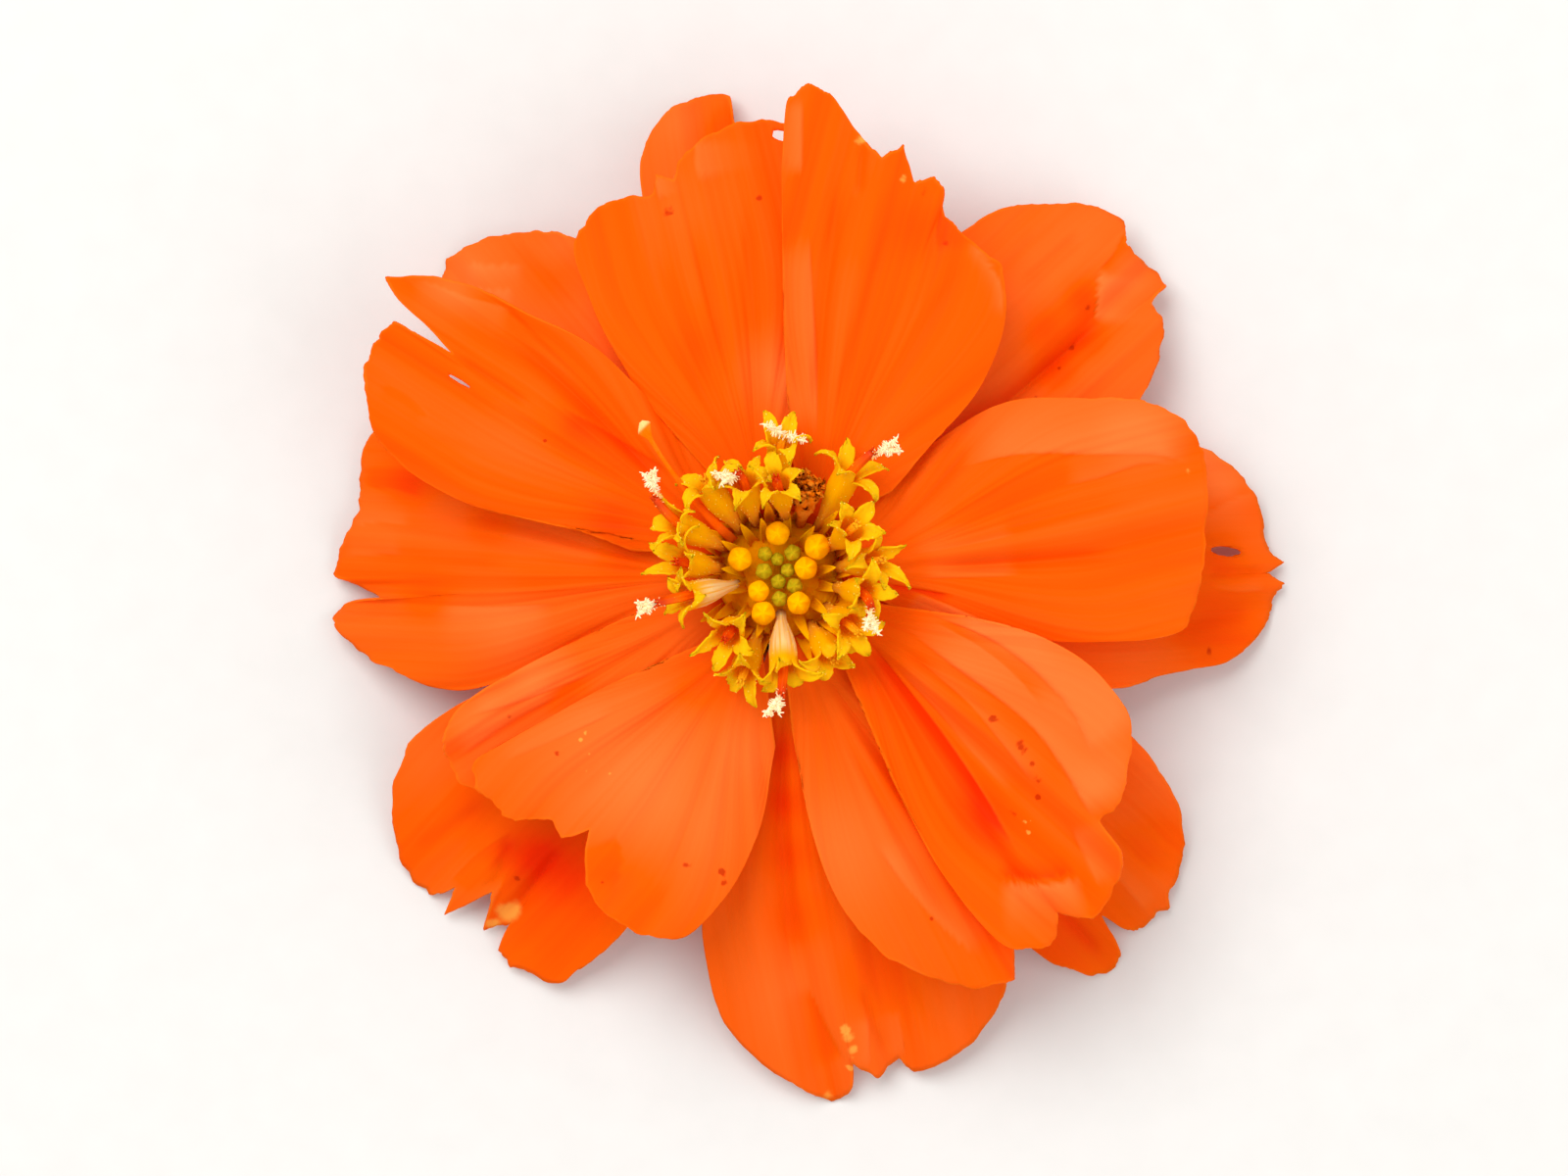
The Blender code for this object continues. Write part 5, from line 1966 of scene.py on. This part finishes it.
@dataclass
class Base:
    """The seat of the flower, its bracts, and the nipped stub of stem."""

    stem_radius: float = 1.2
    stem_height: float = 2.2
    stem_ribs: int = 8
    bracts: int = 8
    cup: tuple[tuple[float, float], ...] = ((2.2, 2.42), (3.2, 2.95), (4.05, 4.2), (4.4, 5.6))
    blade: tuple[tuple[float, float, float], ...] = (
        (4.4, 5.6, 1.0), (4.45, 6.5, 0.94), (4.65, 7.15, 0.6), (5.1, 7.55, 0.06))

    CUP_FOOT = 2.4          # the cup's lowest height, and how much higher its blades reach
    CUP_LENGTH = 5.2
    BRACT_FOOT = 1.65       # the outer bracts' first reach
    BRACT_LENGTH = 6.0

    def build_stem(self) -> Piece:
        """Build the ribbed stub, flat where it was cut and swollen under the bracts.

        Returns:
            The piece.
        """
        sides, rows = 96, 40
        share = np.linspace(0.0, 1.0, rows)
        height = self.stem_height * share
        swell = 0.75 * ease((height - 1.55) / 0.65)
        radius = self.stem_radius * (1.0 - 0.05 * np.sin(math.pi * share)) + swell
        turns = 360.0 * np.arange(sides) / sides
        ribs = 1.0 - 0.035 * (1.0 - np.cos(np.radians(turns) * self.stem_ribs))
        rings = polar(turns[None], radius[:, None] * ribs[None], height[:, None])
        surface = pairs(turns[None] / 360.0, 0.1 + 0.9 * share[:, None])
        sheet = Sheet()
        numbers = sheet.add_points(rings, surface)
        sheet.quads(numbers, around=True)
        inner = numbers[0]
        for ring_share, dip in ((0.93, 0.0), (0.6, 0.03), (0.3, 0.07)):
            ring = sheet.add_points(
                polar(turns, self.stem_radius * ring_share * ribs, np.full(sides, dip)),
                np.stack([turns / 360.0, np.full(sides, 0.1 * ring_share)], -1))
            sheet.quads(np.stack([ring, inner]), around=True)
            inner = ring
        sheet.cap(inner, np.array([0.0, 0.0, 0.08]), 0.0, top=False)
        sheet.cap(numbers[-1], np.array([0.0, 0.0, self.stem_height + 0.05]), 1.0, top=True)
        piece = sheet.build("stem_stub", Skin.STEM.material())
        hand_over(piece, "stem_green", "stem")
        return piece

    def build_receptacle(self) -> Piece:
        """Build the domed seat, pitted between the florets.

        Returns:
            The piece.
        """
        dome = [(r, disc_top(r)) for r in (0.001, 1.0, 1.8, 2.7, 3.3)]
        profile = np.array(dome + [(3.72, 8.1), (3.85, 7.6), (3.85, 5.6), (3.45, 4.3), (2.6, 3.1),
                                   (1.2, 2.5), (0.001, 2.45)])
        line, _ = smooth_line(profile, 7)
        sides = 96
        turns = 360.0 * np.arange(sides) / sides
        surface = pairs(turns[None] / 360.0, np.linspace(1.0, 0.0, len(line))[:, None])
        rings = polar(turns[None], line[:, :1], line[:, 1:])
        random = np.random.default_rng(8)
        on_top = (rings[..., 2] > 8.0) & (np.hypot(rings[..., 0], rings[..., 1]) > 0.2)
        rings[..., 2] += np.where(on_top, random.uniform(-0.09, 0.05, rings.shape[:2]), 0.0)
        sheet = Sheet()
        poles = np.array([0.0, 0.0, profile[-1, 1]]), np.array([0.0, 0.0, DISC_HEIGHT])
        sheet.closed(rings[::-1], surface[::-1], poles)
        piece = sheet.build("receptacle_seat", Skin.RECEPTACLE.material())
        hand_over(piece, "receptacle", "receptacle")
        return piece

    def bract_ribs(self, across: Array) -> Array:
        """Return the ribs and the drawn-in sides of an inner bract, across from -0.5 to 0.5."""
        return 0.05 * np.cos(across * math.tau * 4) - 0.10 * (np.abs(across) * 2) ** 6

    def build_cup(self) -> Piece:
        """Build the inner bracts: joined in a cup below, eight free blades above.

        Returns:
            The piece.
        """
        per_bract = 18
        columns = self.bracts * per_bract
        wall, _ = smooth_line(np.array(self.cup), 8)
        turns = 360.0 * np.arange(columns) / columns
        middles = (np.arange(columns) % per_bract) / per_bract - 0.5
        ribs = self.bract_ribs(middles)
        rise = ease((wall[:, 1:] - self.CUP_FOOT) / 1.5)
        rings = polar(turns[None], wall[:, :1] + ribs[None] * rise, wall[:, 1:])
        surface = pairs(turns[None] / 360.0, (wall[:, 1:] - self.CUP_FOOT) / self.CUP_LENGTH)
        sheet = Sheet()
        numbers = sheet.add_points(rings, surface)
        sheet.quads(numbers, around=True)
        blade, _ = smooth_line(np.array(self.blade), 7)
        for bract in range(self.bracts):
            first = bract * per_bract
            lower = numbers[-1, np.arange(first, first + per_bract + 1) % columns]
            across = np.arange(per_bract + 1) / per_bract - 0.5
            turn = 360.0 / self.bracts * (bract + 0.5 + across[None] * blade[1:, 2:])
            reach = blade[1:, :1] + self.bract_ribs(across)[None]
            points = polar(turn, reach, blade[1:, 1:2])
            rise = (blade[1:, 1:2] - self.CUP_FOOT) / self.CUP_LENGTH
            upper = sheet.add_points(points, pairs(turn / 360.0, rise))
            sheet.quads(np.concatenate([lower[None], upper]))
        piece = sheet.build("inner_bracts", Skin.INNER_BRACT.material())
        thicken(piece, 0.28)
        hand_over(piece, "bract_inner", "inner_bract_cup")
        return piece

    def build_outer_bract(self, number: int) -> Piece:
        """Build one narrow green bract, keeled below and channelled above.

        Args:
            number: the bract's number, from 1.

        Returns:
            The piece.
        """
        bearing = 360.0 * (number - 0.5) / self.bracts
        reach_end = 8.2 + 0.7 * math.sin(2.4 * number)
        path = np.array([(0.0, 2.0, 0.40, 0.16), (0.3, 2.15, 0.55, 0.18), (0.6, 2.9, 0.55, 0.16),
                         (0.85, 3.5, 0.36, 0.13), (1.0, 3.6, 0.05, 0.05)])
        line, _ = smooth_line(path * [self.BRACT_LENGTH, 1.0, 1.0, 1.0], 8)
        sides = 28
        turns = math.tau * np.arange(sides) / sides
        across, up = np.cos(turns), np.sin(turns)
        channel, keel = -0.9 * np.exp(-(across / 0.35) ** 2), 0.5 * np.exp(-(across / 0.2) ** 2)
        dent = np.where(up > 0.0, channel, keel)
        ribs = 0.10 * np.cos(across * 14.0)
        sway = 0.25 * math.sin(number * 1.7) * (line[:, 0] / self.BRACT_LENGTH) ** 2
        reach = self.BRACT_FOOT + (reach_end - self.BRACT_FOOT) * line[:, :1] / self.BRACT_LENGTH
        centre = polar(bearing, reach, line[:, 1:2])
        side = polar(bearing - 90.0, 1.0)
        points = centre + side * (line[:, 2:3] * across + sway[:, None])[..., None]
        points[..., 2] += line[:, 3:4] * (up * (1.0 + ribs) + dent * np.abs(up))
        sheet = Sheet()
        run = np.linspace(0.0, 1.0, len(line))
        sheet.closed(points, pairs(across[None] * 0.5 + 0.5, run[:, None]),
                     (points[0].mean(axis=0), points[-1].mean(axis=0)))
        piece = sheet.build("outer_bract_%d_leaf" % number, Skin.OUTER_BRACT.material())
        hand_over(piece, "bract_green", "outer_bract_%d" % number)
        return piece


@dataclass(frozen=True)
class Studio:
    """The floor, the soft lights and the camera that looks straight down.

    frame_width is what the camera takes in at focus_height, and aim the place it looks at.
    lamps are (name, place in metres, side in metres, power in watts).
    """

    frame_width: float = 89.8
    lens: float = 200.0
    sensor: float = 36.0
    aim: tuple[float, float] = (0.28, -0.67)
    focus_height: float = 10.0
    floor_side: float = 2.4
    lamps: tuple[tuple[str, tuple[float, float, float], float, float], ...] = (
        ("key", (-0.35, 0.45, 0.9), 0.7, 9.0), ("fill", (0.7, -0.3, 0.7), 0.9, 3.0))

    def build_floor(self) -> None:
        """Lay the pale floor."""
        half = self.floor_side / 2
        mesh = bpy.data.meshes.new("floor")
        mesh.from_pydata([(-half, -half, 0.0), (half, -half, 0.0), (half, half, 0.0),
                          (-half, half, 0.0)], [], [(0, 1, 2, 3)])
        s = Shader("floor_paper")
        grain = s.noise(s.place(), 400.0, 3.0)
        color = s.mix(grain, (0.66, 0.65, 0.63), (0.70, 0.69, 0.67))
        mesh.materials.append(s.finish(color, 0.9, None, {"Specular IOR Level": 0.1}))
        add_object("floor", mesh)

    def build_lights(self) -> None:
        """Hang one wide soft light overhead, a weaker one beside it, and a pale sky."""
        for name, place, side, power in self.lamps:
            light = bpy.data.lights.new(name, 'AREA')
            light.size = side
            light.energy = power
            lamp = add_object(name, light)
            lamp.location = place
            lamp.rotation_euler = (-Vector(place)).to_track_quat('-Z', 'Y').to_euler()
        world = bpy.data.worlds.new("soft_sky")
        world.use_nodes = True
        sky = world.node_tree.nodes["Background"]
        sky.inputs["Color"].default_value = (1.0, 0.99, 0.97, 1.0)
        sky.inputs["Strength"].default_value = 0.75
        bpy.context.scene.world = world
        bpy.context.scene.view_settings.view_transform = 'Standard'

    def build_camera(self) -> None:
        """Stand the camera straight above the flower."""
        data = bpy.data.cameras.new("camera")
        data.lens, data.sensor_width = self.lens, self.sensor
        data.clip_start, data.clip_end = 0.01, 10.0
        camera = add_object("camera", data)
        distance = self.frame_width * MM * self.lens / self.sensor
        x, y, _ = to_frame(np.array([*self.aim, 0.0]))
        camera.location = (x, y, self.focus_height * MM + distance)
        bpy.context.scene.camera = camera


def report(made: Piece | Sequence[Piece]) -> None:
    """Log each piece with its size in millimetres and its triangles.

    Args:
        made: a piece, or several.
    """
    for piece in [made] if isinstance(made, Piece) else made:
        points = np.zeros(len(piece.data.vertices) * 3, np.float32)
        piece.data.vertices.foreach_get("co", points)
        size = np.ptp(points.reshape(-1, 3), axis=0) / MM
        faces = sum(len(p.vertices) - 2 for p in piece.data.polygons)
        LOG.info("%s %.1f x %.1f x %.1f mm, %d triangles", piece.name, *size, faces)


def main() -> None:
    """Build the flower from the stem up, then the studio round it."""
    logging.basicConfig(level=logging.INFO, format="%(message)s", stream=sys.stdout)
    base, disc, studio = Base(), Disc(), Studio()
    report(base.build_stem())
    report(base.build_receptacle())
    report(base.build_cup())
    for number in range(1, base.bracts + 1):
        report(base.build_outer_bract(number))
    for petal in PETALS:
        report(petal.build(PetalFinish()))
    report(disc.build_scales())
    report(disc.build_buds())
    report(disc.build_florets())
    report(disc.build_faded())
    report(disc.build_chaff())
    studio.build_floor()
    studio.build_lights()
    studio.build_camera()
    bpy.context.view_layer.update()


if __name__ == "__main__":
    main()
